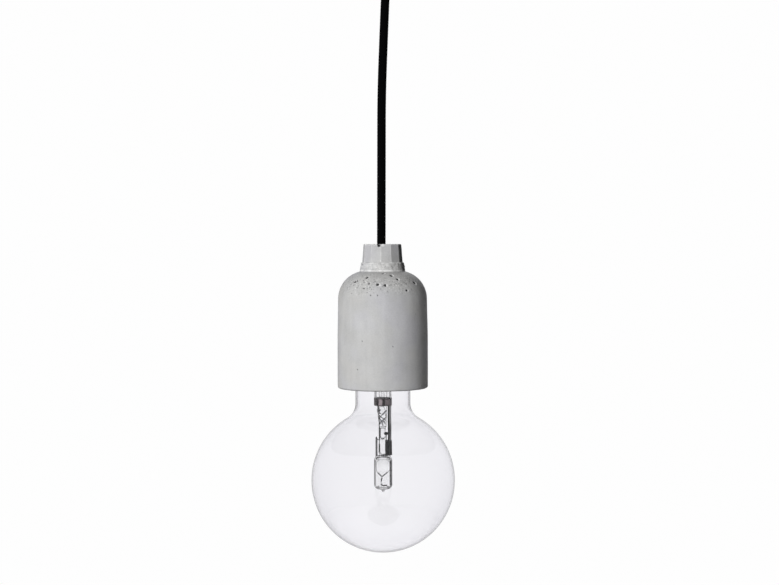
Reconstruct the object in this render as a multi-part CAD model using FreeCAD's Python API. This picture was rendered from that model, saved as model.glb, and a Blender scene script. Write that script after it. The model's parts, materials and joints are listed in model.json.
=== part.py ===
import FreeCAD, Part
import math
import os

Vector = FreeCAD.Vector

# A cord pendant: ceiling cup, textile cord, cast concrete lampholder cover and a clear globe bulb.
# Millimetres. The origin is the centre of the ceiling plane, +Z is up, and all of it hangs below.

# ---- driving dimensions -------------------------------------------------------------------

CORD_RADIUS = 2.65
CORE_RADIUS = 0.95          # one insulated conductor of the cord

CUP_RADIUS = 40.0
CUP_HEIGHT = 45.0
CUP_WALL = 1.2
CUP_CORNER = 5.0

PIVOT_Z = -57.0             # where the cord starts to swing, in the mouth of the cord grip
CORD_DROP = 172.0           # from there to the top of the concrete collar
COLLAR_TOP = PIVOT_Z - CORD_DROP
LAMP_X = -2.9               # the lamp hangs this far beside the ceiling axis, because the cord has a set
CORD_BEND_X = -3.1          # where the cord's set ends and its long straight stretch begins
CORD_LOW_X = -3.8           # its end in the holder: it leans on one side of the collar's hole

SHELL_RADIUS = 29.75
SHELL_TOP_RADIUS = 29.3     # at the shoulder: the mould has a little draft
SHOULDER_RADIUS = 18.5
SHELL_LENGTH = 95.0
CAVITY_RADIUS = 21.5
COLLAR_SIDES = 12
COLLAR_TURN = -4.0          # degrees from the front to the nearest corner of the collar

GLOBE_RADIUS = 47.5
GLOBE_CENTRE = -156.3       # this and the heights below are measured from the top of the collar
NECK_RADIUS = 18.05
NECK_FILLET = 11.6
GLASS_WALL = 0.8

THREAD_PITCH = 25.4 / 7     # Edison thread of a 27 mm cap: seven turns to the inch
THREAD_VALLEY = 12.06
THREAD_DEPTH = 0.53         # half of the height of a ridge
THREAD_GAP = 0.32           # radial clearance between the cap and the socket's thread
THREAD_METAL = 0.35
THREAD_FADE = 2.5

PAST = 1.0                  # how far a cutting shape runs past the face that it cuts
LOOSE = 0.1                 # clearance of parts that slide together, and below it of parts that touch
SNUG = 0.02

# The cord's route, from its pivot down into the lampholder: sideways place and height above the collar.
CORD_END = -44.0
CORD_ROUTE = [
    (0.0, CORD_DROP),
    (-2.1, 125.0),
    (CORD_BEND_X, 95.0),
    (CORD_LOW_X, CORD_END),
]

PARTS = {}


# ---- shape helpers ------------------------------------------------------------------------


def cylinder(radius, low, high, x=0.0, y=0.0):
    """An upright cylinder between two heights."""
    return Part.makeCylinder(radius, high - low, Vector(x, y, low))


def ring(outer, inner, low, high, x=0.0, y=0.0):
    """An upright tube between two heights."""
    return cylinder(outer, low, high, x, y).cut(cylinder(inner, low, high, x, y))


def block(low, high):
    """A box between two corners."""
    size = Vector(*high) - Vector(*low)
    return Part.makeBox(size.x, size.y, size.z, Vector(*low))


def rod(radius, start, end):
    """A round bar from one point to another."""
    start, end = Vector(*start), Vector(*end)
    return Part.makeCylinder(radius, (end - start).Length, start, end - start)


def arc(start, middle, end):
    return Part.Arc(start, middle, end).toShape()


def line(start, end):
    return Part.LineSegment(start, end).toShape()


def outline(steps):
    """A closed wire in the XZ plane. A step is a point (r, z), or two points: an arc's middle and end."""
    points = [step if not isinstance(step[0], tuple) else step[1] for step in steps]
    edges = []
    for k, step in enumerate(steps):
        start = Vector(points[k - 1][0], 0, points[k - 1][1])
        end = Vector(points[k][0], 0, points[k][1])
        if isinstance(step[0], tuple):
            edges.append(arc(start, Vector(step[0][0], 0, step[0][1]), end))
        else:
            edges.append(line(start, end))
    return Part.Wire(edges)


def turned(steps):
    """The outline turned about the Z axis."""
    return Part.Face(outline(steps)).revolve(Vector(0, 0, 0), Vector(0, 0, 1), 360)


def round_point(centre, radius, degrees):
    """The point of a circle at an angle, for the middle of an arc in an outline."""
    turn = math.radians(degrees)
    return (centre[0] + radius * math.cos(turn), centre[1] + radius * math.sin(turn))


def hexagon(across_flats, bore, low, high, x=0.0):
    """A hexagon nut."""
    corner = across_flats / math.sqrt(3)
    points = [
        Vector(x + corner * math.cos(math.radians(60 * k)), corner * math.sin(math.radians(60 * k)), low)
        for k in range(7)
    ]
    nut = Part.Face(Part.makePolygon(points)).extrude(Vector(0, 0, high - low))
    return nut.cut(cylinder(bore, low, high, x))


def rounded_path(points, share=0.45):
    """Straight runs joined by tangent arcs. Each arc takes that share of its shorter run."""
    points = [Vector(*p) for p in points]
    edges, radii, start = [], [], points[0]
    for before, corner, after in zip(points, points[1:], points[2:]):
        way_in = (corner - before).normalize()
        way_out = (after - corner).normalize()
        half_turn = way_in.getAngle(way_out) / 2
        cut = share * min((corner - before).Length, (after - corner).Length)
        radius = cut / math.tan(half_turn)
        radii.append(radius)
        begin, finish = corner - way_in * cut, corner + way_out * cut
        inward = (way_out - way_in).normalize()
        centre = corner + inward * math.hypot(radius, cut)
        edges += [line(start, begin), arc(begin, centre - inward * radius, finish)]
        start = finish
    edges.append(line(start, points[-1]))
    return Part.Wire(edges), radii


def tube(points, radius):
    """A round tube along a rounded path."""
    path, radii = rounded_path(points)
    way = Vector(*points[1]) - Vector(*points[0])
    section = Part.Wire(Part.makeCircle(radius, Vector(*points[0]), way))
    solid = path.makePipeShell([section], True, True)
    return solid, path.Length, radii


def wavy_surface(radius, side, low, high):
    """A thread's surface. Side 1 rises outward from the radius, and side -1 dips inward from it.

    The ridge is a right-hand helix, and it fades out at both ends.
    """
    rows, columns = 60, 24
    grid = []
    for i in range(columns + 1):
        turn = 2 * math.pi * i / columns
        column = []
        for k in range(rows + 1):
            z = low + (high - low) * k / rows
            rise = min(1, (z - low) / THREAD_FADE, (high - z) / THREAD_FADE)
            depth = THREAD_DEPTH * rise * rise * (3 - 2 * rise)
            r = radius + side * depth + depth * math.cos(2 * math.pi * z / THREAD_PITCH - turn)
            column.append(Vector(r * math.cos(turn), r * math.sin(turn), z))
        grid.append(column)
    surface = Part.BSplineSurface()
    surface.interpolate(grid)
    return surface.toShape()


def end_ring(outer, inner, height):
    """The flat ring that closes a threaded sleeve at one end."""
    wires = []
    for face in (outer, inner):
        rims = [e for e in face.Edges if e.isClosed() and abs(e.CenterOfMass.z - height) < 0.01]
        wires.append(Part.Wire(rims[0]))
    return Part.makeFace(wires, "Part::FaceMakerBullseye")


def threaded_sleeve(radius, side, low, high):
    """Thin rolled sheet with the thread on both of its faces."""
    outer = wavy_surface(radius + THREAD_METAL, side, low, high)
    inner = wavy_surface(radius, side, low, high)
    shell = Part.makeShell([outer, inner, end_ring(outer, inner, low), end_ring(outer, inner, high)])
    shell.sewShape()
    solid = Part.makeSolid(shell.Shells[0])
    solid.fix(1e-4, 1e-4, 1e-4)
    return solid


def both_sides(make):
    """One compound of the solid for side -1 and the solid for side 1."""
    return Part.makeCompound([make(-1), make(1)])


# ---- the ceiling end ----------------------------------------------------------------------

BRACKET_THICKNESS = 2.0
BRACKET_WIDTH = 18.0
EAR_LENGTH = 12.0
EAR_WIDTH = 14.0
EAR_OUTSIDE = CUP_RADIUS - CUP_WALL - 1.8
SIDE_SCREW_Z = -8.0
SIDE_SCREW_RADIUS = 1.6
EAR_HOLE_RADIUS = 1.7
CUP_HOLE_RADIUS = 2.1
SLOT_SPACING = 46.0
SLOT_LENGTH = 10.0
SLOT_RADIUS = 2.3
WIRE_HOLE_RADIUS = 6.0
CEILING_GAP = 0.3

BLOCK_LOW = -17.0
BLOCK_WIDTH = 21.0
BLOCK_DEPTH = 18.0
TERMINAL_X = 5.0
TERMINAL_Y = 4.5            # the two screws of a terminal, each side of the middle
TERMINAL_Z = -10.0
TERMINAL_RADIUS = 2.5
TERMINAL_BORE = 1.5
TERMINAL_LENGTH = 16.0

GRIP_RADIUS = 7.6
GRIP_BORE = 3.0
GRIP_DISH = 6.1
GRIP_SHANK = 4.9
GRIP_TOP = -34.0
GRIP_SCREW_Z = -48.0
GRIP_SCREW_RADIUS = 1.4
CUP_FLOOR = -CUP_HEIGHT + CUP_WALL
WASHER_TOP = CUP_FLOOR + 1.0
NUT_TOP = WASHER_TOP + 4.0
NUT_ACROSS_FLATS = 14.0
INNER_CORD_LOW = PIVOT_Z + 3.5
INNER_CORD_TOP = -28.0
CORE_X = 1.15               # each conductor leaves the cord this far beside its middle
RING_RADIUS = 4.6           # of the rubber ring's middle line
RING_THICKNESS = 1.1


def long_slot(x):
    """A round-ended slot along X, for the bracket's ceiling screws."""
    reach = SLOT_LENGTH / 2 - SLOT_RADIUS
    low, high = -BRACKET_THICKNESS - PAST, PAST
    slot = block((x - reach, -SLOT_RADIUS, low), (x + reach, SLOT_RADIUS, high))
    for end in (x - reach, x + reach):
        slot = slot.fuse(cylinder(SLOT_RADIUS, low, high, end))
    return slot


def ceiling_bracket():
    plate = block((-EAR_OUTSIDE, -BRACKET_WIDTH / 2, -BRACKET_THICKNESS), (EAR_OUTSIDE, BRACKET_WIDTH / 2, 0))
    for side in (-1, 1):
        inside, outside = sorted((side * (EAR_OUTSIDE - BRACKET_THICKNESS), side * EAR_OUTSIDE))
        ear = block((inside, -EAR_WIDTH / 2, -EAR_LENGTH), (outside, EAR_WIDTH / 2, -BRACKET_THICKNESS))
        hole = rod(EAR_HOLE_RADIUS, (inside - PAST, 0, SIDE_SCREW_Z), (outside + PAST, 0, SIDE_SCREW_Z))
        plate = plate.fuse(ear.cut(hole)).cut(long_slot(side * SLOT_SPACING / 2))
    plate = plate.cut(cylinder(WIRE_HOLE_RADIUS, -BRACKET_THICKNESS - PAST, PAST))
    return plate.removeSplitter()


def canopy_cup():
    """A spun cup, open at the ceiling, with a rounded lower edge and a hole for the cord grip."""
    outer, inner = CUP_RADIUS, CUP_RADIUS - CUP_WALL
    low, hole = -CUP_HEIGHT, GRIP_SHANK + LOOSE
    centre = (outer - CUP_CORNER, low + CUP_CORNER)
    cup = turned([
        (outer, -CEILING_GAP),
        (inner, -CEILING_GAP),
        (inner, centre[1]),
        (round_point(centre, CUP_CORNER - CUP_WALL, -45), (centre[0], CUP_FLOOR)),
        (hole, CUP_FLOOR),
        (hole, low),
        (centre[0], low),
        (round_point(centre, CUP_CORNER, -45), (outer, centre[1])),
    ])
    return cup.cut(rod(CUP_HOLE_RADIUS, (-outer - PAST, 0, SIDE_SCREW_Z), (outer + PAST, 0, SIDE_SCREW_Z)))


def canopy_screw(side):
    """A domed, slotted screw through the cup into one ear of the bracket."""
    dome, sink, height = 4.4, 2.2, 2.3
    slot_depth, slot_half, thread_length = 0.9, 0.4, 5.0
    start = (side * (EAR_OUTSIDE - thread_length), 0, SIDE_SCREW_Z)
    shank = rod(SIDE_SCREW_RADIUS, start, (side * CUP_RADIUS, 0, SIDE_SCREW_Z))
    head = Part.makeSphere(dome, Vector(side * (CUP_RADIUS - sink), 0, SIDE_SCREW_Z))
    near, far = sorted((side * CUP_RADIUS, side * (CUP_RADIUS + height)))
    head = head.common(block((near, -dome, SIDE_SCREW_Z - dome), (far, dome, SIDE_SCREW_Z + dome)))
    near, far = sorted((side * (CUP_RADIUS + height - slot_depth), side * (CUP_RADIUS + height + PAST)))
    slot = block((near, -dome, SIDE_SCREW_Z - slot_half), (far, dome, SIDE_SCREW_Z + slot_half))
    return shank.fuse(head.cut(slot)).removeSplitter()


def terminal_places():
    """The places of the four terminal screws."""
    return [(x, y) for x in (-TERMINAL_X, TERMINAL_X) for y in (-TERMINAL_Y, TERMINAL_Y)]


def terminal_block():
    half, deep, hole = BLOCK_WIDTH / 2, BLOCK_DEPTH / 2, 1.8
    body = block((-half, -deep, BLOCK_LOW), (half, deep, -BRACKET_THICKNESS))
    for x in (-TERMINAL_X, TERMINAL_X):
        body = body.cut(rod(TERMINAL_RADIUS, (x, -deep - PAST, TERMINAL_Z), (x, deep + PAST, TERMINAL_Z)))
    for x, y in terminal_places():
        body = body.cut(cylinder(hole, BLOCK_LOW - PAST, TERMINAL_Z, x, y))
    return body


def terminal_tube(side):
    """A brass sleeve for one pair of wires, with threaded holes for its two screws."""
    x, half, hole = side * TERMINAL_X, TERMINAL_LENGTH / 2, 1.3
    sleeve = rod(TERMINAL_RADIUS, (x, -half, TERMINAL_Z), (x, half, TERMINAL_Z))
    sleeve = sleeve.cut(rod(TERMINAL_BORE, (x, -half - PAST, TERMINAL_Z), (x, half + PAST, TERMINAL_Z)))
    for y in (-TERMINAL_Y, TERMINAL_Y):
        sleeve = sleeve.cut(cylinder(hole, BLOCK_LOW, TERMINAL_Z, x, y))
    return sleeve


def terminal_screws():
    shank, head, sink, head_height, slot_depth, slot_half = 1.2, 1.6, 0.6, 1.8, 0.7, 0.25
    screws = []
    for x, y in terminal_places():
        low = BLOCK_LOW + sink
        screw = cylinder(shank, low, TERMINAL_Z - TERMINAL_BORE, x, y)
        screw = screw.fuse(cylinder(head, low, low + head_height, x, y))
        slot = block((x - head, y - slot_half, low - PAST), (x + head, y + slot_half, low + slot_depth))
        screws.append(screw.cut(slot))
    return Part.makeCompound(screws)


def cord_grip():
    """A turned gland through the cup's floor. Its mouth is a dish, so that the cord can swing."""
    grip = turned([
        (GRIP_SHANK, GRIP_TOP),
        (GRIP_BORE, GRIP_TOP),
        (GRIP_BORE, PIVOT_Z),
        (GRIP_RADIUS, PIVOT_Z),
        (GRIP_RADIUS, -CUP_HEIGHT),
        (GRIP_SHANK, -CUP_HEIGHT),
    ])
    grip = grip.cut(Part.makeSphere(GRIP_DISH, Vector(0, 0, PIVOT_Z)))
    hole = rod(GRIP_SCREW_RADIUS + LOOSE, (0, -GRIP_RADIUS - PAST, GRIP_SCREW_Z), (0, 0, GRIP_SCREW_Z))
    return grip.cut(hole)


def grip_screw():
    """The slotted grub screw that holds the cord in the grip."""
    outside, slot_depth, slot_half = -GRIP_RADIUS + 0.2, 1.0, 0.3
    screw = rod(GRIP_SCREW_RADIUS, (0, outside, GRIP_SCREW_Z), (0, -CORD_RADIUS - SNUG, GRIP_SCREW_Z))
    low, high = GRIP_SCREW_Z - slot_half, GRIP_SCREW_Z + slot_half
    return screw.cut(block((-2, outside - PAST, low), (2, outside + slot_depth, high)))


def ceiling_wire(side):
    """From the end of the inner cord up to one terminal, round one side."""
    x = side * TERMINAL_X
    return tube([
        (side * CORE_X, 0, INNER_CORD_TOP),
        (side * CORE_X, 0, INNER_CORD_TOP + 3.5),
        (side * 3.5, 10.0, INNER_CORD_TOP + 7.5),
        (x, 14.5, TERMINAL_Z - 3.5),
        (x, 11.5, TERMINAL_Z),
        (x, 1.0, TERMINAL_Z),
    ], CORE_RADIUS)[0]


def make_ceiling():
    PARTS["ceiling_bracket"] = ceiling_bracket()
    PARTS["canopy_cup"] = canopy_cup()
    PARTS["canopy_screws"] = both_sides(canopy_screw)
    PARTS["terminal_block"] = terminal_block()
    PARTS["terminal_tubes"] = both_sides(terminal_tube)
    PARTS["terminal_screws"] = terminal_screws()
    PARTS["cord_grip"] = cord_grip()
    PARTS["grip_screw"] = grip_screw()
    PARTS["grip_washer"] = ring(8.0, GRIP_SHANK + LOOSE, CUP_FLOOR, WASHER_TOP)
    PARTS["grip_nut"] = hexagon(NUT_ACROSS_FLATS, GRIP_SHANK + SNUG, WASHER_TOP, NUT_TOP)
    PARTS["inner_cord"] = cylinder(CORD_RADIUS, INNER_CORD_LOW, INNER_CORD_TOP)
    PARTS["ceiling_live_wire"] = ceiling_wire(-1)
    PARTS["ceiling_neutral_wire"] = ceiling_wire(1)
    PARTS["outlet_ring"] = Part.makeTorus(RING_RADIUS, RING_THICKNESS, Vector(0, 0, PIVOT_Z))


# ---- the cord -----------------------------------------------------------------------------


def make_cord():
    route = [(x, 0, COLLAR_TOP + h) for x, h in CORD_ROUTE]
    cord, length, radii = tube(route, CORD_RADIUS)
    print("cord radii", [round(r) for r in radii], "length", round(length, 1))
    print("cord volume over section x length", cord.Volume / (math.pi * CORD_RADIUS**2 * length))
    end = Part.makeSphere(CORD_RADIUS, Vector(0, 0, PIVOT_Z))
    PARTS["cord"] = cord.fuse(end).removeSplitter()


# ---- the concrete cover and the lampholder in it ------------------------------------------
# From here the shapes are made about the lamp's own axis with the collar's top at zero.

COLLAR_LOW = -12.1
COLLAR_TOP_RADIUS = 12.6
COLLAR_LOW_RADIUS = 13.5
RING_TOP_RADIUS = 14.35
RING_LOW_RADIUS = 15.2
SHOULDER_TOP = -17.5
DRAFT_LOW = -61.0
RIM_EDGE = 1.2
CORD_HOLE_RADIUS = 4.0
NIPPLE_RADIUS = 5.0
NIPPLE_BORE = 3.9
NIPPLE_TOP = -8.0
NIPPLE_LOW = -41.0
CAVITY_TOP = -28.0
CAVITY_CORNER = 6.0
NIPPLE_WASHER_LOW = CAVITY_TOP - 1.2
NIPPLE_NUT_LOW = NIPPLE_WASHER_LOW - 4.0

HOLDER_RADIUS = 20.0
HOLDER_WALL = 2.0
HOLDER_CORNER = 7.0
HOLDER_TOP = -34.0
HOLDER_SPLIT = -54.0
HOLDER_LOW = -91.0
HOLDER_BOSS = 8.0
MOUTH_RADIUS = 17.0
THROAT_RADIUS = 15.2
CORE_INSIDE = 14.3
CORE_TOP = HOLDER_SPLIT - 1.0
CORE_FLOOR = -60.0
CORE_LOW = -86.5
SCREW_SHELL_TOP = -65.0
SCREW_SHELL_LOW = -86.0

HOLDER_TERMINAL_X = 9.5
HOLDER_TERMINAL_TOP = HOLDER_SPLIT + 4.5
HOLDER_WIRE_Z = HOLDER_SPLIT + 1.3
RIVET_RADIUS = 1.2
HOLDER_SCREW_RADIUS = 1.2
CLAMP_X = CORD_LOW_X - LAMP_X
CLAMP_Z = -45.0
CLAMP_FRONT = -4.6
CLAMP_SCREW_X = 5.5


def polygon_wire(radius, height):
    """The collar's cross-section."""
    first = math.radians(COLLAR_TURN - 90)
    turns = [first + 2 * math.pi * k / COLLAR_SIDES for k in range(COLLAR_SIDES + 1)]
    return Part.makePolygon([Vector(radius * math.cos(t), radius * math.sin(t), height) for t in turns])


def concrete_shell():
    collar = Part.makeLoft(
        [polygon_wire(COLLAR_LOW_RADIUS, COLLAR_LOW - 0.5), polygon_wire(COLLAR_TOP_RADIUS, 0)], True, True
    )
    shoulder = (SHELL_TOP_RADIUS - SHOULDER_RADIUS, SHOULDER_TOP - SHOULDER_RADIUS)
    meet = RING_LOW_RADIUS - shoulder[0]
    ring_low = shoulder[1] + math.sqrt(SHOULDER_RADIUS**2 - meet**2)
    meet_angle = math.degrees(math.acos(meet / SHOULDER_RADIUS))
    corner = (CAVITY_RADIUS - CAVITY_CORNER, CAVITY_TOP - CAVITY_CORNER)
    rim = -SHELL_LENGTH
    outer_edge = (SHELL_RADIUS - RIM_EDGE, rim + RIM_EDGE)
    inner_edge = (CAVITY_RADIUS + RIM_EDGE, rim + RIM_EDGE)
    body = turned([
        (0, COLLAR_LOW),
        (RING_TOP_RADIUS, COLLAR_LOW),
        (RING_LOW_RADIUS, ring_low),
        (round_point(shoulder, SHOULDER_RADIUS, meet_angle / 2), (SHELL_TOP_RADIUS, shoulder[1])),
        (SHELL_RADIUS, DRAFT_LOW),
        (SHELL_RADIUS, outer_edge[1]),
        (round_point(outer_edge, RIM_EDGE, -45), (outer_edge[0], rim)),
        (inner_edge[0], rim),
        (round_point(inner_edge, RIM_EDGE, -135), (CAVITY_RADIUS, inner_edge[1])),
        (CAVITY_RADIUS, corner[1]),
        (round_point(corner, CAVITY_CORNER, 45), (corner[0], CAVITY_TOP)),
        (0, CAVITY_TOP),
    ])
    shell = body.fuse(collar)
    shell = shell.cut(cylinder(CORD_HOLE_RADIUS, CAVITY_TOP - PAST, PAST))
    return shell.cut(cylinder(NIPPLE_RADIUS + SNUG, CAVITY_TOP - PAST, NIPPLE_TOP + LOOSE))


def lampholder_cap():
    """The upper half of the holder: a domed cover with a threaded boss on the nipple."""
    outer, inner, bore = HOLDER_RADIUS, HOLDER_RADIUS - HOLDER_WALL, NIPPLE_RADIUS + SNUG
    centre = (outer - HOLDER_CORNER, HOLDER_TOP - HOLDER_CORNER)
    return turned([
        (bore, HOLDER_TOP),
        (centre[0], HOLDER_TOP),
        (round_point(centre, HOLDER_CORNER, 45), (outer, centre[1])),
        (outer, HOLDER_SPLIT),
        (inner, HOLDER_SPLIT),
        (inner, centre[1]),
        (round_point(centre, HOLDER_CORNER - HOLDER_WALL, 45), (centre[0], HOLDER_TOP - HOLDER_WALL)),
        (HOLDER_BOSS, HOLDER_TOP - HOLDER_WALL),
        (HOLDER_BOSS, NIPPLE_LOW),
        (bore, NIPPLE_LOW),
    ])


def lampholder_skirt():
    """The lower half of the holder, with a flared mouth round the bulb's neck."""
    outer, inner, edge, lip = HOLDER_RADIUS, HOLDER_RADIUS - HOLDER_WALL, 1.0, 2.0
    return turned([
        (outer, HOLDER_SPLIT - SNUG),
        (outer, HOLDER_LOW + edge),
        (outer - edge, HOLDER_LOW),
        (MOUTH_RADIUS, HOLDER_LOW),
        (THROAT_RADIUS, CORE_LOW - lip),
        (THROAT_RADIUS, CORE_LOW - SNUG),
        (inner, CORE_LOW - SNUG),
        (inner, HOLDER_SPLIT - SNUG),
    ])


def socket_core():
    """The insulating core: a floor that carries the terminals, and a sleeve round the screw shell."""
    outer = HOLDER_RADIUS - HOLDER_WALL - LOOSE
    core = turned([
        (0, CORE_TOP),
        (outer, CORE_TOP),
        (outer, CORE_LOW),
        (CORE_INSIDE, CORE_LOW),
        (CORE_INSIDE, CORE_FLOOR),
        (0, CORE_FLOOR),
    ])
    for x in (-HOLDER_TERMINAL_X, HOLDER_TERMINAL_X):
        core = core.cut(cylinder(RIVET_RADIUS + LOOSE, CORE_FLOOR - PAST, HOLDER_SPLIT, x))
    return core


def holder_terminal(side):
    """A brass block on the core, with a rivet down through the core's floor."""
    x, half_width, half_depth = side * HOLDER_TERMINAL_X, 3.0, 3.5
    screw_hole = cylinder(HOLDER_SCREW_RADIUS + LOOSE, HOLDER_SPLIT + 2, HOLDER_TERMINAL_TOP + PAST, x)
    wire_hole = rod(1.2, (x, -half_depth - PAST, HOLDER_WIRE_Z), (x, half_depth + PAST, HOLDER_WIRE_Z))
    body = block((x - half_width, -half_depth, CORE_TOP), (x + half_width, half_depth, HOLDER_TERMINAL_TOP))
    return body.cut(screw_hole).cut(wire_hole).fuse(cylinder(RIVET_RADIUS, CORE_FLOOR, CORE_TOP, x))


def holder_terminal_screw(side):
    x, head, head_height, slot_depth, slot_half = side * HOLDER_TERMINAL_X, 2.3, 1.8, 0.8, 0.3
    low = HOLDER_TERMINAL_TOP + LOOSE
    top = low + head_height
    screw = cylinder(HOLDER_SCREW_RADIUS, HOLDER_SPLIT + 2.6, low, x).fuse(cylinder(head, low, top, x))
    return screw.cut(block((x - head, -slot_half, top - slot_depth), (x + head, slot_half, top + PAST)))


def shell_contact():
    """The strip that joins the neutral terminal's rivet to the screw shell."""
    half_width, thickness, pad, reach = 2.5, 0.6, 2.0, 13.1
    x = -HOLDER_TERMINAL_X
    strip = block((-reach, -half_width, CORE_FLOOR - thickness), (x + pad, half_width, CORE_FLOOR))
    drop = block((-reach, -half_width, SCREW_SHELL_TOP), (-reach + thickness, half_width, CORE_FLOOR))
    return strip.fuse(drop).removeSplitter()


def centre_contact():
    """The sprung leaf that presses on the bulb's tip."""
    half_width, thickness, short_end, long_end, nose_radius = 2.5, 0.5, -2.0, 7.0, 1.6
    low = CAP_TIP_LOW + LOOSE
    top = low + thickness
    leaf = block((short_end, -half_width, low), (long_end, half_width, top))
    nose = cylinder(nose_radius, low, top + 0.3)
    rise = block((long_end - thickness, -half_width, top), (long_end, half_width, CORE_FLOOR - 0.4))
    return leaf.fuse(nose).fuse(rise).removeSplitter()


def cord_clamp():
    """A grooved bar that presses the cord inside the holder's cap."""
    half_length, half_height, back, hole = 8.0, 2.5, -1.0, 1.3
    low, high = CLAMP_Z - half_height, CLAMP_Z + half_height
    bar = block((CLAMP_X - half_length, CLAMP_FRONT, low), (CLAMP_X + half_length, back, high))
    bar = bar.cut(cylinder(CORD_RADIUS + 3 * SNUG, low - PAST, high + PAST, CLAMP_X))
    for x in (CLAMP_X - CLAMP_SCREW_X, CLAMP_X + CLAMP_SCREW_X):
        bar = bar.cut(rod(hole, (x, CLAMP_FRONT - PAST, CLAMP_Z), (x, 0, CLAMP_Z)))
    return bar


def cord_clamp_screw(side):
    x = CLAMP_X + side * CLAMP_SCREW_X
    head, head_height, thread_end, slot_depth, slot_half = 2.2, 1.8, 1.5, 0.8, 0.3
    front = CLAMP_FRONT - head_height
    shank = rod(HOLDER_SCREW_RADIUS, (x, CLAMP_FRONT, CLAMP_Z), (x, thread_end, CLAMP_Z))
    screw = shank.fuse(rod(head, (x, front, CLAMP_Z), (x, CLAMP_FRONT, CLAMP_Z)))
    low, high = CLAMP_Z - slot_half, CLAMP_Z + slot_half
    return screw.cut(block((x - head, front - PAST, low), (x + head, front + slot_depth, high)))


def holder_wire(side):
    """From the end of the cord to one terminal of the holder."""
    start = CLAMP_X + side * CORE_X
    x = side * HOLDER_TERMINAL_X
    return tube([
        (start, 0, CORD_END - SNUG),
        (start, 0, CORD_END - 2.5),
        (side * 5.0, 7.5, -48.5),
        (x, 10.5, HOLDER_WIRE_Z + 1.8),
        (x, 8.0, HOLDER_WIRE_Z),
        (x, 0.5, HOLDER_WIRE_Z),
    ], CORE_RADIUS)[0]


def make_holder():
    place("concrete_shell", concrete_shell())
    place("threaded_nipple", ring(NIPPLE_RADIUS, NIPPLE_BORE, NIPPLE_LOW, NIPPLE_TOP))
    place("nipple_washer", ring(9.0, NIPPLE_RADIUS + SNUG, NIPPLE_WASHER_LOW, CAVITY_TOP))
    place("nipple_nut", hexagon(NUT_ACROSS_FLATS, NIPPLE_RADIUS + SNUG, NIPPLE_NUT_LOW, NIPPLE_WASHER_LOW))
    place("lampholder_cap", lampholder_cap())
    place("lampholder_skirt", lampholder_skirt())
    place("socket_core", socket_core())
    valley = THREAD_VALLEY + THREAD_GAP + 2 * THREAD_DEPTH
    place("screw_shell", threaded_sleeve(valley, -1, SCREW_SHELL_LOW, SCREW_SHELL_TOP))
    place("shell_contact", shell_contact())
    place("holder_terminals", both_sides(holder_terminal))
    place("holder_terminal_screws", both_sides(holder_terminal_screw))
    place("cord_clamp", cord_clamp())
    place("cord_clamp_screws", both_sides(cord_clamp_screw))
    place("holder_live_wire", holder_wire(1))
    place("holder_neutral_wire", holder_wire(-1))
    place("centre_contact", centre_contact())


# ---- the bulb -----------------------------------------------------------------------------

CAP_TIP_LOW = -62.0
CAP_TOP = -69.0
CAP_THREAD_LOW = -85.0
CAP_LOW = -88.0
CAP_BARREL = 12.6
INSULATOR_TOP = CAP_TOP + 5.0
FLARE_LOW = -96.0
GLASS_TOP = -72.0
GLASS_IN_CAP = 11.4

STEM_RADIUS = 5.6
STEM_BEND = -91.0
STEM_LOW = -106.6
STEM_FLOOR = STEM_LOW + 1.0
EXHAUST_RADIUS = 1.6
EXHAUST_BORE = 1.1
EXHAUST_TOP = -78.0
BAND_TOP = -102.0
BAND_RADIUS = 5.95
PRESS_LOW = -121.0
BEAD_X = -0.2
BEAD_RADIUS = 2.0
BEAD_LOW = -129.3
PINCH_TOP = -129.6
PINCH_LOW = -140.3
PINCH_HALF_WIDTH = 5.0
PINCH_HALF_DEPTH = 1.6
CAPSULE_RADIUS = 6.05
CAPSULE_WALL = 0.9
CAPSULE_TOP = -142.4
CAPSULE_LOW = -162.3
CAPSULE_CORNER = 3.0
CAPSULE_TIP = -164.4
ROOM_TOP = -143.0

LEAD_RADIUS = 0.3
LEFT_LEAD_X = -2.4
RIGHT_LEAD_X = 2.1
CAP_WIRE_X = 2.6
WELD_Z = -125.7
WELD_RADIUS = 1.1
WELD_X = RIGHT_LEAD_X + 0.4
STRIP_LEFT = 3.2
STRIP_RIGHT = 5.5
STRIP_FRONT = -2.3
STRIP_THICKNESS = 0.5
WELD_FRONT = STRIP_FRONT - 0.6
CLIP_LEFT = 1.4
CLIP_RIGHT = 5.9
CLIP_TOP = -130.0
CLIP_LOW = PINCH_LOW + 0.7
FOIL_X = 2.2
FOIL_HALF_WIDTH = 0.9
FOIL_TOP = PINCH_TOP - 2.2
FOIL_LOW = PINCH_LOW + 2.2
INNER_LEAD_X = 4.5
FILAMENT_TOP = -151.3
FILAMENT_LOW = -154.1
FILAMENT_LEFT = -3.7
FILAMENT_RIGHT = 2.9
FILAMENT_X = -0.8
FILAMENT_RADIUS = 0.45


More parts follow.
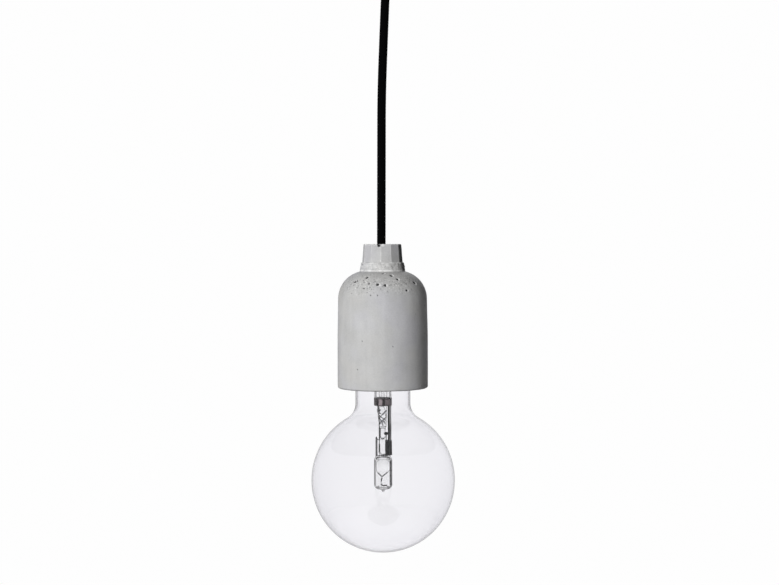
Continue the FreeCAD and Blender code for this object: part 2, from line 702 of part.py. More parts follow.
def globe_side(grow):
    """The envelope's outline from the cap down to the lowest point, made thicker by grow."""
    ball, neck, fillet = GLOBE_RADIUS + grow, NECK_RADIUS + grow, NECK_FILLET - grow
    across = neck + fillet
    fillet_z = GLOBE_CENTRE + math.sqrt((ball + fillet) ** 2 - across**2)
    slope = math.atan2(fillet_z - GLOBE_CENTRE, across)
    on_ball = (ball * math.cos(slope), GLOBE_CENTRE + ball * math.sin(slope))
    fillet_turn = math.degrees(slope)
    top = GLASS_IN_CAP + grow
    rise, fall = neck - top, CAP_LOW - FLARE_LOW
    bend = (rise**2 + fall**2) / (4 * rise)
    half = math.degrees(math.asin(fall / 2 / bend)) / 2
    middle = (top + rise / 2, CAP_LOW - fall / 2)
    return [
        (top, GLASS_TOP),
        (top, CAP_LOW),
        (round_point((top + bend, CAP_LOW), bend, 180 + half), middle),
        (round_point((neck - bend, FLARE_LOW), bend, half), (neck, FLARE_LOW)),
        (neck, fillet_z),
        (round_point((across, fillet_z), fillet, 180 + fillet_turn / 2), on_ball),
        (round_point((0, GLOBE_CENTRE), ball, (fillet_turn - 90) / 2), (0, GLOBE_CENTRE - ball)),
    ]


def globe_glass():
    """A hollow blown envelope, open inside the cap."""

    def filled(grow):
        return turned([(0, GLASS_TOP)] + globe_side(grow))

    return filled(0).cut(filled(-GLASS_WALL))


def bulb_cap():
    """The rolled cap: a threaded sleeve with a plain barrel below it."""
    thread = threaded_sleeve(THREAD_VALLEY - THREAD_METAL, 1, CAP_THREAD_LOW, CAP_TOP)
    barrel = turned([
        (THREAD_VALLEY, CAP_THREAD_LOW),
        (CAP_BARREL, CAP_THREAD_LOW - 0.8),
        (CAP_BARREL, CAP_LOW),
        (CAP_BARREL - THREAD_METAL, CAP_LOW),
        (THREAD_VALLEY - THREAD_METAL, CAP_THREAD_LOW),
    ])
    return Part.makeCompound([thread, barrel])


def cap_insulator():
    """Black glass between the threaded sleeve and the tip."""
    top_radius, edge_radius, edge = 4.8, 5.6, 0.6
    disc = turned([
        (0, INSULATOR_TOP),
        (top_radius, INSULATOR_TOP),
        (edge_radius, INSULATOR_TOP - edge),
        (THREAD_VALLEY - THREAD_METAL, CAP_TOP),
        (0, CAP_TOP),
    ])
    return disc.cut(cap_wires())


def cap_tip():
    top_radius, foot_radius = 2.6, 4.5
    low = INSULATOR_TOP
    return turned([(0, CAP_TIP_LOW), (top_radius, CAP_TIP_LOW), (foot_radius, low), (0, low)])


def stem_glass():
    """The glass tube that carries the mount, flared at the top to meet the envelope."""
    outer, inner, edge = STEM_RADIUS, STEM_RADIUS - GLASS_WALL, 0.4
    flare = GLASS_IN_CAP - GLASS_WALL - outer - SNUG
    centre = (outer + flare, STEM_BEND)
    top = STEM_BEND + flare
    stem = turned([
        (0, STEM_LOW),
        (outer - edge, STEM_LOW),
        (outer, STEM_LOW + edge),
        (outer, STEM_BEND),
        (round_point(centre, flare, 135), (centre[0], top)),
        (centre[0], top + GLASS_WALL),
        (round_point(centre, flare + GLASS_WALL, 135), (inner, STEM_BEND)),
        (inner, STEM_FLOOR),
        (0, STEM_FLOOR),
    ])
    return stem.cut(lead_wire()).cut(cap_wires())


def ellipse_wire(wide, deep, height, x=0.0):
    """A horizontal ellipse. The wide radius is along X."""
    centre = Vector(x, 0, height)
    along_x, along_y = centre + Vector(wide, 0, 0), centre + Vector(0, deep, 0)
    return Part.Wire(Part.Ellipse(along_x, along_y, centre).toShape())


def stem_press():
    """The squeezed end of the stem, with the lead wire's hole left through it."""
    press = Part.makeLoft([
        ellipse_wire(3.4, 3.2, STEM_LOW, -0.5),
        ellipse_wire(3.3, 2.4, STEM_LOW - 4.0, -0.6),
        ellipse_wire(2.8, 1.7, STEM_LOW - 9.5, -0.3),
        ellipse_wire(2.4, 1.6, PRESS_LOW, -0.2),
    ], True)
    return press.cut(lead_wire())


def lead_wire():
    """The left lead, from inside the stem down to the capsule's pinch."""
    return rod(LEAD_RADIUS, (LEFT_LEAD_X, 0, STEM_LOW + 4), (LEFT_LEAD_X, 0, PINCH_TOP + SNUG))


def cap_wires():
    """The wires inside the cap: from the left lead to the tip, and from the stem's floor to the sleeve."""
    live = rod(LEAD_RADIUS, (LEFT_LEAD_X, 0, STEM_LOW + 4), (LEFT_LEAD_X, 0, INSULATOR_TOP))
    neutral = tube([
        (CAP_WIRE_X, 0, STEM_LOW),
        (CAP_WIRE_X, 0, -77.0),
        (7.5, 0, CAP_TOP - 1.6),
        (THREAD_VALLEY - THREAD_METAL - 0.2, 0, CAP_TOP - 1.4),
    ], LEAD_RADIUS)[0]
    return Part.makeCompound([live, neutral])


def support_bar():
    """The flat strip from the stem down to the pinch, folded into a clip round the pinch's edge."""
    back = STRIP_FRONT + STRIP_THICKNESS
    strip = block((STRIP_LEFT, STRIP_FRONT, CLIP_TOP), (STRIP_RIGHT, back, STEM_LOW))
    clip = block((CLIP_LEFT, STRIP_FRONT, CLIP_LOW), (CLIP_RIGHT, -STRIP_FRONT, CLIP_TOP))
    inside = block((0, back, CLIP_LOW - PAST), (CLIP_RIGHT - STRIP_THICKNESS, -back, CLIP_TOP + PAST))
    return strip.fuse(clip.cut(inside)).removeSplitter()


def bead_tube():
    """A stub of glass tube under the press, with a rounded end."""
    centre_z = BEAD_LOW + BEAD_RADIUS
    body = cylinder(BEAD_RADIUS, centre_z, PRESS_LOW, BEAD_X)
    body = body.fuse(Part.makeSphere(BEAD_RADIUS, Vector(BEAD_X, 0, centre_z)))
    groove = rod(LEAD_RADIUS + LOOSE, (LEFT_LEAD_X, 0, STEM_LOW), (LEFT_LEAD_X, 0, PINCH_TOP))
    return body.cut(groove).removeSplitter()


def weld_tab():
    """The short tab that joins the support bar to the right lead."""
    low, high = WELD_Z - WELD_RADIUS, WELD_Z + WELD_RADIUS
    tab = block((RIGHT_LEAD_X, WELD_FRONT, low), (STRIP_RIGHT - 0.3, STRIP_FRONT, high))
    blob = Part.makeSphere(WELD_RADIUS, Vector(WELD_X, WELD_FRONT, WELD_Z)).cut(support_bar())
    return tab.fuse(blob).removeSplitter()


def right_lead():
    """The short lead from the weld tab down to the pinch."""
    return rod(LEAD_RADIUS, (WELD_X, WELD_FRONT, WELD_Z), (RIGHT_LEAD_X, 0, PINCH_TOP + LOOSE))


def capsule_room():
    """The hollow of the burner capsule."""
    inner = CAPSULE_RADIUS - CAPSULE_WALL
    corner = CAPSULE_CORNER - CAPSULE_WALL
    floor = CAPSULE_LOW + CAPSULE_WALL + 0.6
    return turned([
        (0, ROOM_TOP),
        (FOIL_X, ROOM_TOP),
        (inner, ROOM_TOP - 1.6),
        (inner, floor + corner),
        (round_point((inner - corner, floor + corner), corner, -45), (inner - corner, floor)),
        (0, floor),
    ])


def capsule_glass():
    """The quartz burner: a flat pinch, a round capsule and the sealed tip."""
    corner = (CAPSULE_RADIUS - CAPSULE_CORNER, CAPSULE_LOW + CAPSULE_CORNER)
    neck, nipple = 1.5, 0.6
    capsule = turned([
        (0, PINCH_LOW + 0.6),
        (CAPSULE_RADIUS / 2, PINCH_LOW + 0.6),
        (CAPSULE_RADIUS, CAPSULE_TOP),
        (CAPSULE_RADIUS, corner[1]),
        (round_point(corner, CAPSULE_CORNER, -45), (corner[0], CAPSULE_LOW)),
        (neck, CAPSULE_LOW - 0.4),
        (nipple, CAPSULE_TIP),
        (0, CAPSULE_TIP),
    ])
    low = (-PINCH_HALF_WIDTH, -PINCH_HALF_DEPTH, PINCH_LOW)
    high = (PINCH_HALF_WIDTH, PINCH_HALF_DEPTH, PINCH_TOP)
    glass = capsule.fuse(block(low, high)).cut(capsule_room())
    for metal in (capsule_foils(), capsule_leads()):
        glass = glass.cut(metal)
    return glass.removeSplitter()


def foil(side):
    x, half_depth = side * FOIL_X, 0.1
    return block((x - FOIL_HALF_WIDTH, -half_depth, FOIL_LOW), (x + FOIL_HALF_WIDTH, half_depth, FOIL_TOP))


def capsule_foils():
    """Two strips sealed in the pinch, which carry the current through the glass."""
    return both_sides(foil)


def capsule_leads():
    """The wires at both ends of the foils: out to the mount, and in along the wall to the filament."""
    wires = []
    for side, x, end in ((-1, LEFT_LEAD_X, FILAMENT_LEFT), (1, RIGHT_LEAD_X, FILAMENT_RIGHT)):
        wires.append(tube([
            (x, 0, FOIL_LOW),
            (x, 0, ROOM_TOP - 0.4),
            (side * INNER_LEAD_X, 0, ROOM_TOP - 3.0),
            (side * INNER_LEAD_X, 0, FILAMENT_TOP + 1.5),
            (end, 0, FILAMENT_TOP),
        ], LEAD_RADIUS)[0])
        wires.append(rod(LEAD_RADIUS, (x, 0, PINCH_TOP), (x, 0, FOIL_TOP)))
    return Part.makeCompound(wires)


def filament():
    """The coiled wire as a slim V that hangs between the two inner leads."""
    foot = Vector(FILAMENT_X, 0, FILAMENT_LOW)
    ends = [rod(FILAMENT_RADIUS, (x, 0, FILAMENT_TOP - 0.3), foot) for x in (FILAMENT_LEFT, FILAMENT_RIGHT)]
    joined = ends[0].fuse(ends[1]).fuse(Part.makeSphere(FILAMENT_RADIUS, foot))
    return joined.cut(capsule_leads())


def filament_support():
    """The hooked wire under the filament, held in the capsule's foot."""
    radius = 0.25
    bend = (FILAMENT_X - 0.5, 0, -158.9)
    post = rod(radius, (FILAMENT_X, 0, FILAMENT_LOW - FILAMENT_RADIUS), bend)
    foot = rod(radius, bend, (FILAMENT_RIGHT - 0.3, 0, -160.2))
    return post.fuse(foot).cut(filament()).removeSplitter()


def make_bulb():
    place("globe_glass", globe_glass())
    place("bulb_cap", bulb_cap())
    place("cap_insulator", cap_insulator())
    place("cap_tip", cap_tip())
    place("stem_glass", stem_glass())
    place("exhaust_tube", ring(EXHAUST_RADIUS, EXHAUST_BORE, STEM_FLOOR, EXHAUST_TOP))
    place("cap_wires", cap_wires())
    place("stem_band", ring(BAND_RADIUS, STEM_RADIUS + SNUG, STEM_LOW, BAND_TOP))
    place("stem_press", stem_press())
    place("lead_wire", lead_wire())
    place("right_lead", right_lead().cut(weld_tab()))
    place("support_bar", support_bar())
    place("bead_tube", bead_tube())
    place("weld_tab", weld_tab())
    place("capsule_glass", capsule_glass())
    place("capsule_foils", capsule_foils())
    place("capsule_leads", capsule_leads())
    place("filament", filament())
    place("filament_support", filament_support())


def place(name, shape):
    """Move a shape from the lamp's own frame to its place under the cord."""
    shape.translate(Vector(LAMP_X, 0, COLLAR_TOP))
    PARTS[name] = shape


# ---- make and write -----------------------------------------------------------------------


def main():
    make_ceiling()
    make_cord()
    make_holder()
    make_bulb()
    os.makedirs("parts", exist_ok=True)
    for name, shape in PARTS.items():
        good = shape.isValid() and all(solid.Volume > 0 for solid in shape.Solids)
        if not good:
            print("check", name, shape.isValid(), [round(s.Volume, 3) for s in shape.Solids])
        shape.exportStep("parts/" + name + ".step")
    print(len(PARTS), "parts")


main()
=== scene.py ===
import json
import math
import random

import bmesh
import bpy
from mathutils import Matrix, Vector, kdtree, noise


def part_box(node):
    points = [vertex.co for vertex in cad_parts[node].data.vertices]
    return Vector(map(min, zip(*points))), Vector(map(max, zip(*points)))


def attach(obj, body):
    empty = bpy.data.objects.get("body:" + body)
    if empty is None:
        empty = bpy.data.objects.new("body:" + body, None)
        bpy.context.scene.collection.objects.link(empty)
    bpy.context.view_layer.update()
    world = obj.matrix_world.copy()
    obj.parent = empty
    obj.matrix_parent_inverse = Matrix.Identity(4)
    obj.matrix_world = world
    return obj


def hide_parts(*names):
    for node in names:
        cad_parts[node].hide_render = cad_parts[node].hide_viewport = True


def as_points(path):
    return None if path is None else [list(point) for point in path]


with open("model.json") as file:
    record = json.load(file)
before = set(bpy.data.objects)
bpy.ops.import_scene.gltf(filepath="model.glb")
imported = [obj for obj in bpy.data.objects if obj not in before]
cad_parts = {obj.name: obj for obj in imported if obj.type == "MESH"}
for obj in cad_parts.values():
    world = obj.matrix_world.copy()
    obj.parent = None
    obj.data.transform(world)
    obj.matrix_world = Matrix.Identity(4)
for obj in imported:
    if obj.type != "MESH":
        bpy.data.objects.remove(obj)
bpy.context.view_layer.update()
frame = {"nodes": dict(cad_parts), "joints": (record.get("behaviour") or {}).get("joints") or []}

# A cord pendant with a cast concrete cover and a clear globe bulb, in metres and in the frame's axes.
# Shapes are written in millimetres about the lamp's own axis, with the top of the collar at zero.
# MM and the places below, which come from the frame, put them where they belong.

MM = 0.001
COVER_LOW, COVER_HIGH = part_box("concrete_shell")
LAMP_X = (COVER_LOW.x + COVER_HIGH.x) / 2
TOP_Z = COVER_HIGH.z
PIVOT = Vector(next(joint["pos_m"] for joint in frame["joints"] if joint["name"] == "swing_side"))


# ---- camera -------------------------------------------------------------------------------

CAMERA_DISTANCE = 0.99
CAMERA_SIDE = 0.0046
CAMERA_TILT = 1.85
CAMERA_ROLL = -0.19
CAMERA_LENS = 69.3


def make_camera():
    """Level with the top of the collar, in front, tilted down and rolled a little."""
    data = bpy.data.cameras.new("camera")
    data.lens = CAMERA_LENS
    camera = bpy.data.objects.new("camera", data)
    camera.location = (LAMP_X + CAMERA_SIDE, -CAMERA_DISTANCE, TOP_Z)
    tilt = Matrix.Rotation(math.radians(90 - CAMERA_TILT), 3, "X")
    camera.rotation_euler = (tilt @ Matrix.Rotation(math.radians(CAMERA_ROLL), 3, "Z")).to_euler()
    bpy.context.scene.collection.objects.link(camera)
    bpy.context.scene.camera = camera


# ---- mesh helpers -------------------------------------------------------------------------

WIRE_STEP = 0.3


def lamp_point(radius, turn, height):
    """A point of the row frame, from a radius, an angle and a height about the lamp's axis."""
    across = radius * MM
    return Vector((LAMP_X + across * math.cos(turn), across * math.sin(turn), TOP_Z + height * MM))


def run(here, *stops):
    """Points of an outline's straight stretches, without its last. A stop is a place and the step to it."""
    points = []
    for *there, step in stops:
        count = max(1, round(math.dist(here, there) / step))
        points += [
            (here[0] + (there[0] - here[0]) * k / count, here[1] + (there[1] - here[1]) * k / count)
            for k in range(count)
        ]
        here = there
    return points


def bow(centre, radius, start, end, step):
    """Points of a round stretch of an outline, from one angle to another in degrees, without its last."""
    count = max(2, round(abs(math.radians(end - start)) * radius / step))
    turns = [math.radians(start + (end - start) * k / count) for k in range(count)]
    return [(centre[0] + radius * math.cos(t), centre[1] + radius * math.sin(t)) for t in turns]


def lathe(outline, columns, closed=False, place=lamp_point):
    """Vertices and faces of an outline turned about the lamp's axis. A radius of 0 makes a pole."""
    points, rings, faces = [], [], []
    for radius, height in outline:
        if radius < 1e-6:
            rings.append([len(points)] * columns)
            points.append(place(0, 0, height))
            continue
        rings.append(list(range(len(points), len(points) + columns)))
        points += [place(radius, 2 * math.pi * k / columns, height) for k in range(columns)]
    following = rings[1:] + rings[:1] if closed else rings[1:]
    for ring, after in zip(rings, following):
        for k in range(columns):
            n = (k + 1) % columns
            corners = list(dict.fromkeys((ring[k], ring[n], after[n], after[k])))
            if len(corners) > 2:
                faces.append(corners)
    return points, faces


def piece(name, made, body, slot, material, *replaced):
    """A mesh object from vertices and faces, that rides on a body and stands for CAD nodes."""
    points, faces = made
    mesh = bpy.data.meshes.new(name)
    mesh.from_pydata(points, [], faces)
    work = bmesh.new()
    work.from_mesh(mesh)
    bmesh.ops.recalc_face_normals(work, faces=work.faces)
    work.to_mesh(mesh)
    work.free()
    mesh.shade_smooth()
    mesh.materials.append(material)
    obj = bpy.data.objects.new(name, mesh)
    bpy.context.scene.collection.objects.link(obj)
    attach(obj, body)
    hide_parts(*replaced)
    return obj


def bands(rows, columns):
    """Faces between rings of points that follow each other."""
    faces = []
    for first in range(0, (rows - 1) * columns, columns):
        for k in range(columns):
            n = (k + 1) % columns
            faces.append((first + k, first + n, first + columns + n, first + columns + k))
    return faces


def skin(rings):
    """Faces over rings of the same number of points, closed at both ends."""
    columns = len(rings[0])
    points = [point for ring in rings for point in ring]
    ends = [tuple(range(columns)), tuple(range(len(points) - columns, len(points)))]
    return points, bands(len(rings), columns) + ends


def tube_mesh(path, radius, columns):
    """Vertices and faces of a round tube along a line of points. The radius may be a function."""
    points, side = [], Vector((0, 1, 0))
    for i, here in enumerate(path):
        along = (path[min(i + 1, len(path) - 1)] - path[max(i - 1, 0)]).normalized()
        side = (side - along * side.dot(along)).normalized()
        other = along.cross(side)
        for k in range(columns):
            turn = 2 * math.pi * k / columns
            reach = radius(i, turn) if callable(radius) else radius
            points.append(here + (side * math.cos(turn) + other * math.sin(turn)) * reach)
    ends = [tuple(reversed(range(columns))), tuple(range(len(points) - columns, len(points)))]
    return points, bands(len(path), columns) + ends


def join(*parts):
    """Several meshes as one."""
    points, faces = [], []
    for more, corners in parts:
        faces += [tuple(c + len(points) for c in face) for face in corners]
        points += more
    return points, faces


def spot_of(x, y, z):
    """A point of the row frame, from the lamp's millimetres."""
    return Vector((LAMP_X + x * MM, y * MM, TOP_Z + z * MM))


def wire_line(stops):
    """Points along straight runs between places in the lamp's millimetres (x, y, height)."""
    places = [spot_of(*stop) for stop in stops]
    line = []
    for start, end in zip(places, places[1:]):
        count = max(1, round((end - start).length / (WIRE_STEP * MM)))
        line += [start.lerp(end, k / count) for k in range(count)]
    return line + [places[-1]]


def softened(line, rounds):
    """The same line with its corners eased."""
    for _ in range(rounds):
        middle = [(a + b * 2 + c) / 4 for a, b, c in zip(line, line[1:], line[2:])]
        line = [line[0]] + middle + [line[-1]]
    return line


def mark(obj, name, amount):
    """Give each vertex a number, from a function of its millimetres about the lamp's axis."""
    layer = obj.data.attributes.new(name, "FLOAT", "POINT")
    for vertex, value in zip(obj.data.vertices, layer.data):
        x, y, z = (vertex.co.x - LAMP_X) / MM, vertex.co.y / MM, (vertex.co.z - TOP_Z) / MM
        value.value = amount(x, y, z)


def ease(value, start, end):
    """0 before the start, 1 after the end, and smooth between them."""
    share = min(1.0, max(0.0, (value - start) / (end - start)))
    return share * share * (3 - 2 * share)


# ---- material helpers ---------------------------------------------------------------------


def feed(tree, socket, value):
    """Link a socket from another, or set its value. A colour is opaque."""
    if isinstance(value, bpy.types.NodeSocket):
        tree.links.new(value, socket)
    else:
        socket.default_value = (*value, 1) if socket.type == "RGBA" else value


def add_node(tree, kind, **inputs):
    """A shader node, fed by its inputs' names."""
    node = tree.nodes.new("ShaderNode" + kind)
    for name, value in inputs.items():
        feed(tree, node.inputs[name], value)
    return node


def new_material(name, colour, roughness, **sockets):
    """A Principled material. Further sockets are given by name, with _ for a space."""
    material = bpy.data.materials.new(name)
    material.use_nodes = True
    tree = material.node_tree
    shader = tree.nodes["Principled BSDF"]
    for socket, value in {"Base Color": colour, "Roughness": roughness, **sockets}.items():
        feed(tree, shader.inputs[socket.replace("_", " ")], value)
    return material, tree, shader


def grain(tree, size, detail=4.0, roughness=0.55, stretch=(1, 1, 1)):
    """Noise with features of about that size in millimetres, on the object's own coordinates."""
    place = add_node(tree, "Mapping", Vector=add_node(tree, "TexCoord").outputs["Object"], Scale=stretch)
    return add_node(
        tree, "TexNoise", Vector=place.outputs[0], Scale=1 / (size * MM), Detail=detail, Roughness=roughness
    ).outputs["Fac"]


def ramp(tree, factor, *stops):
    """A colour ramp with stops of (place, grey or colour)."""
    node = add_node(tree, "ValToRGB", Fac=factor)
    elements = node.color_ramp.elements
    while len(elements) < len(stops):
        elements.new(0.5)
    for element, (at, colour) in zip(elements, stops):
        element.position = at
        element.color = (*colour, 1) if isinstance(colour, tuple) else (colour, colour, colour, 1)
    return node.outputs["Color"]


def blend(tree, kind, amount, first, second):
    """Mix two colours. The amount is a number or a socket."""
    node = add_node(tree, "Mix", Factor=amount)
    node.data_type, node.blend_type = "RGBA", kind
    feed(tree, node.inputs[6], first)
    feed(tree, node.inputs[7], second)
    return node.outputs[2]


def attribute(tree, name):
    """A number that the mesh carries at each point."""
    node = tree.nodes.new("ShaderNodeAttribute")
    node.attribute_name = name
    return node.outputs["Fac"]


def bumps(tree, shader, *layers):
    """Bump from layers of (height socket, distance in millimetres, strength)."""
    normal = None
    for height, distance, strength in layers:
        node = add_node(tree, "Bump", Height=height, Distance=distance * MM, Strength=strength)
        if normal is not None:
            tree.links.new(normal, node.inputs["Normal"])
        normal = node.outputs["Normal"]
    tree.links.new(normal, shader.inputs["Normal"])


def mottle(tree, pattern, colour, dark, light):
    """A colour that varies between a darker and a lighter share of itself."""
    pale = tuple(min(1.0, c * light) for c in colour)
    return ramp(tree, pattern, (0.3, tuple(c * dark for c in colour)), (0.7, pale))


# ---- materials ----------------------------------------------------------------------------


def concrete_material():
    """Cast grey concrete: soft mottling, faint upright streaks, pale worn edges, painted highlights beside
    the larger pores, and painted shade in the pores, in the collar's notch, along the rim and on the collar's
    right side.
    """
    material, tree, shader = new_material("concrete", (0.5, 0.5, 0.49), 0.9, Specular_IOR_Level=0.05)
    warm, plain, cool = (0.505, 0.502, 0.495), (0.5, 0.5, 0.5), (0.496, 0.495, 0.512)
    colour = ramp(tree, grain(tree, 26, 2), (0.36, warm), (0.48, plain), (0.62, cool))
    clouds = ramp(tree, grain(tree, 12, 5), (0.28, 0.93), (0.72, 1.06))
    streaks = ramp(tree, grain(tree, 4, 4, 0.6, (1, 1, 0.1)), (0.3, 0.96), (0.7, 1.03))
    sand = ramp(tree, grain(tree, 0.8, 3, 0.7), (0.25, 0.92), (0.75, 1.06))
    for layer in (clouds, streaks, sand):
        colour = blend(tree, "MULTIPLY", 1.0, colour, layer)
    grades = ((0.0, 0.4), (0.34, 0.4), (0.4, 1.0), (0.6, 1.0), (0.66, 1.45))
    flecks = ramp(tree, grain(tree, 1.1, 2, 0.6), *grades)
    colour = blend(tree, "MULTIPLY", attribute(tree, "coarse"), colour, flecks)
    # The pale mark is worn edges together with painted highlights beside the larger pores. The two dark marks
    # are painted shade: along the rim, on the collar's right side, in the pores and in the notch.
    marks = (("edge", (0.84, 0.84, 0.83)), ("painted_shade", (0.1, 0.1, 0.1)), ("painted_pit_shade", (0.018, 0.018, 0.02)))
    for name, tone in marks:
        colour = blend(tree, "MIX", attribute(tree, name), colour, tone)
    tree.links.new(colour, shader.inputs["Base Color"])
    roughness = ramp(tree, grain(tree, 3, 3), (0.3, 0.82), (0.7, 0.97))
    tree.links.new(roughness, shader.inputs["Roughness"])
    bumps(
        tree, shader,
        (grain(tree, 4, 4), 0.2, 0.4),
        (grain(tree, 0.8, 5, 0.7), 0.1, 0.5),
        (grain(tree, 0.25, 3, 0.7), 0.04, 0.5),
    )
    return material


def textile_material():
    """Black braided yarn. The mesh has the braid; this adds the yarn's fibres, and painted shade down between
    the strands, from the braid's height that the mesh carries.
    """
    material, tree, shader = new_material("textile", (0.002, 0.002, 0.0022), 0.85, Specular_IOR_Level=0.08)
    layout = add_node(tree, "UVMap")
    layout.uv_map = "yarn_lie"
    fibres = add_node(tree, "TexNoise", Vector=layout.outputs["UV"], Scale=6.0, Detail=3.0).outputs["Fac"]
    # Painted shade: darker where the braid is low, between and under the strands.
    tone = ramp(tree, attribute(tree, "yarn"), (0.0, 0.0004), (1.0, (0.0035, 0.0035, 0.0038)))
    shade = ramp(tree, fibres, (0.3, 0.6), (0.7, 1.3))
    tree.links.new(blend(tree, "MULTIPLY", 1.0, tone, shade), shader.inputs["Base Color"])
    bumps(tree, shader, (fibres, 0.1, 0.7))
    return material


def glass_material(name, ior, waves, depth, line, smoke=(0.5, 0.5, 0.51), density=40):
    """Clear glass with slight waves, and edges painted darker by their facing angle: painted dark edge lines,
    as refraction of a dark room would give. "brim" widens these edges, and another mark paints a place dark,
    mostly as painted shade.
    """
    material, tree, shader = new_material(name, (1, 1, 1), 0.0, Transmission_Weight=1.0, IOR=ior)
    bumps(tree, shader, (grain(tree, waves, 2), depth, 0.3))
    wider = tree.nodes.new("ShaderNodeMath")
    wider.operation = "ADD"
    feed(tree, wider.inputs[0], add_node(tree, "LayerWeight", Blend=0.5).outputs["Facing"])
    feed(tree, wider.inputs[1], attribute(tree, "brim"))
    colour = ramp(tree, wider.outputs[0], *line)
    colour = blend(tree, "MIX", attribute(tree, "painted_dark"), colour, (0.012, 0.012, 0.014))
    feed(tree, shader.inputs["Base Color"], colour)
    volume = add_node(tree, "VolumeAbsorption", Color=smoke, Density=density)
    feed(tree, tree.nodes["Material Output"].inputs["Volume"], volume.outputs["Volume"])
    return material


def uneven_gloss(tree, shader, size, low, high):
    """Roughness that varies between two values."""
    feed(tree, shader.inputs["Roughness"], ramp(tree, grain(tree, size), (0.3, low), (0.7, high)))


def metal_material(name, colour, low, high, size=2.0):
    """Bare metal, uneven in gloss. The mesh may carry a mark that paints it dark: on the band a painted dark
    reflection, with painted highlights left bare.
    """
    material, tree, shader = new_material(name, colour, low, Metallic=1.0)
    tint = mottle(tree, grain(tree, size * 3, 4), colour, 0.85, 1.08)
    tint = blend(tree, "MIX", attribute(tree, "metal_darkening"), tint, (0.004, 0.0038, 0.0038))
    feed(tree, shader.inputs["Base Color"], tint)
    bumps(tree, shader, (grain(tree, size, 4, 0.6), 0.02, 0.5))
    uneven_gloss(tree, shader, size, low, high)
    return material


def moulded_material(name, colour, low, high, size=1.2, bump=0.03):
    """Paint, plastic or ceramic with a faint grain."""
    material, tree, shader = new_material(name, colour, low)
    feed(tree, shader.inputs["Base Color"], mottle(tree, grain(tree, size * 4, 3), colour, 0.9, 1.1))
    bumps(tree, shader, (grain(tree, size * 0.5, 3, 0.6), bump, 0.5))
    uneven_gloss(tree, shader, size, low, high)
    return material


CONCRETE = concrete_material()
TEXTILE = textile_material()
GLOBE_GLASS = glass_material(
    "globe_glass_clear", 1.47, 30, 0.02, ((0.68, 1.0), (0.8, 0.94), (0.9, 0.8), (1.0, 0.05)),
    smoke=(0.5, 0.47, 0.68), density=95,
)
STEM_GLASS = glass_material("stem_glass_clear", 1.5, 4, 0.05, ((0.38, 1.0), (0.54, 0.25), (0.7, 0.03)))
PRESS_GLASS = glass_material("press_glass_clear", 1.5, 4, 0.05, ((0.62, 1.0), (0.82, 0.6), (1.0, 0.1)))
QUARTZ = glass_material("quartz_clear", 1.46, 3, 0.04, ((0.5, 1.0), (0.66, 0.4), (0.9, 0.02)))
BAND_METAL = metal_material("band_metal", (0.45, 0.38, 0.39), 0.35, 0.45)
STRIP_METAL = metal_material("strip_metal", (0.3, 0.295, 0.295), 0.35, 0.5, 0.8)
WIRE_METAL = metal_material("wire_metal", (0.04, 0.039, 0.039), 0.35, 0.5, 0.8)
WELD_METAL = metal_material("weld_metal", (0.005, 0.0048, 0.0048), 0.4, 0.65, 0.5)
FOIL_METAL = metal_material("foil_metal", (0.02, 0.02, 0.021), 0.2, 0.35, 1.0)
NICKEL = metal_material("nickel_wire", (0.75, 0.74, 0.73), 0.3, 0.45, 0.8)
TUNGSTEN = metal_material("tungsten", (0.03, 0.03, 0.032), 0.35, 0.5, 0.3)
BRASS = metal_material("brass", (0.72, 0.5, 0.2), 0.2, 0.38)
CAP_METAL = metal_material("cap_metal", (0.72, 0.71, 0.69), 0.22, 0.4)
ZINC = metal_material("zinc", (0.55, 0.56, 0.58), 0.3, 0.5)
POWDER_COAT = moulded_material("powder_coat", (0.022, 0.022, 0.024), 0.5, 0.65, 0.5, 0.05)
THERMOPLASTIC = moulded_material("thermoplastic", (0.025, 0.025, 0.026), 0.38, 0.52)
WHITE_PLASTIC = moulded_material("white_plastic", (0.8, 0.8, 0.77), 0.4, 0.55)
STEATITE = moulded_material("steatite", (0.78, 0.75, 0.66), 0.6, 0.8, 0.8, 0.06)
LIVE_BROWN = moulded_material("live_brown", (0.17, 0.06, 0.025), 0.4, 0.55)
NEUTRAL_BLUE = moulded_material("neutral_blue", (0.03, 0.09, 0.35), 0.4, 0.55)
BLACK_GLASS = moulded_material("black_glass", (0.012, 0.012, 0.018), 0.06, 0.14, 2.0, 0.02)
RUBBER = moulded_material("rubber", (0.02, 0.02, 0.02), 0.6, 0.75)

CAD_FINISH = {
    POWDER_COAT: ("canopy_cup", "cord_grip"),
    ZINC: (
        "ceiling_bracket", "canopy_screws", "grip_screw", "grip_washer", "grip_nut", "threaded_nipple",
        "nipple_washer", "nipple_nut", "cord_clamp_screws", "terminal_screws", "holder_terminal_screws",
    ),
    WHITE_PLASTIC: ("terminal_block",),
    THERMOPLASTIC: ("lampholder_cap", "lampholder_skirt", "cord_clamp"),
    STEATITE: ("socket_core",),
    BRASS: (
        "terminal_tubes", "screw_shell", "shell_contact", "centre_contact", "holder_terminals", "cap_tip",
    ),
    LIVE_BROWN: ("ceiling_live_wire", "holder_live_wire"),
    NEUTRAL_BLUE: ("ceiling_neutral_wire", "holder_neutral_wire"),
    RUBBER: ("outlet_ring",),
    CAP_METAL: ("bulb_cap",),
    BLACK_GLASS: ("cap_insulator",),
    NICKEL: ("cap_wires",),
    TEXTILE: ("inner_cord",),
}


def finish_cad_nodes():
    for material, names in CAD_FINISH.items():
        for name in names:
            for slot in frame["nodes"][name].material_slots:
                slot.material = material


# ---- the cord -----------------------------------------------------------------------------

CORD_DIAMETER = 5.3
CORD_DROP = 172.0
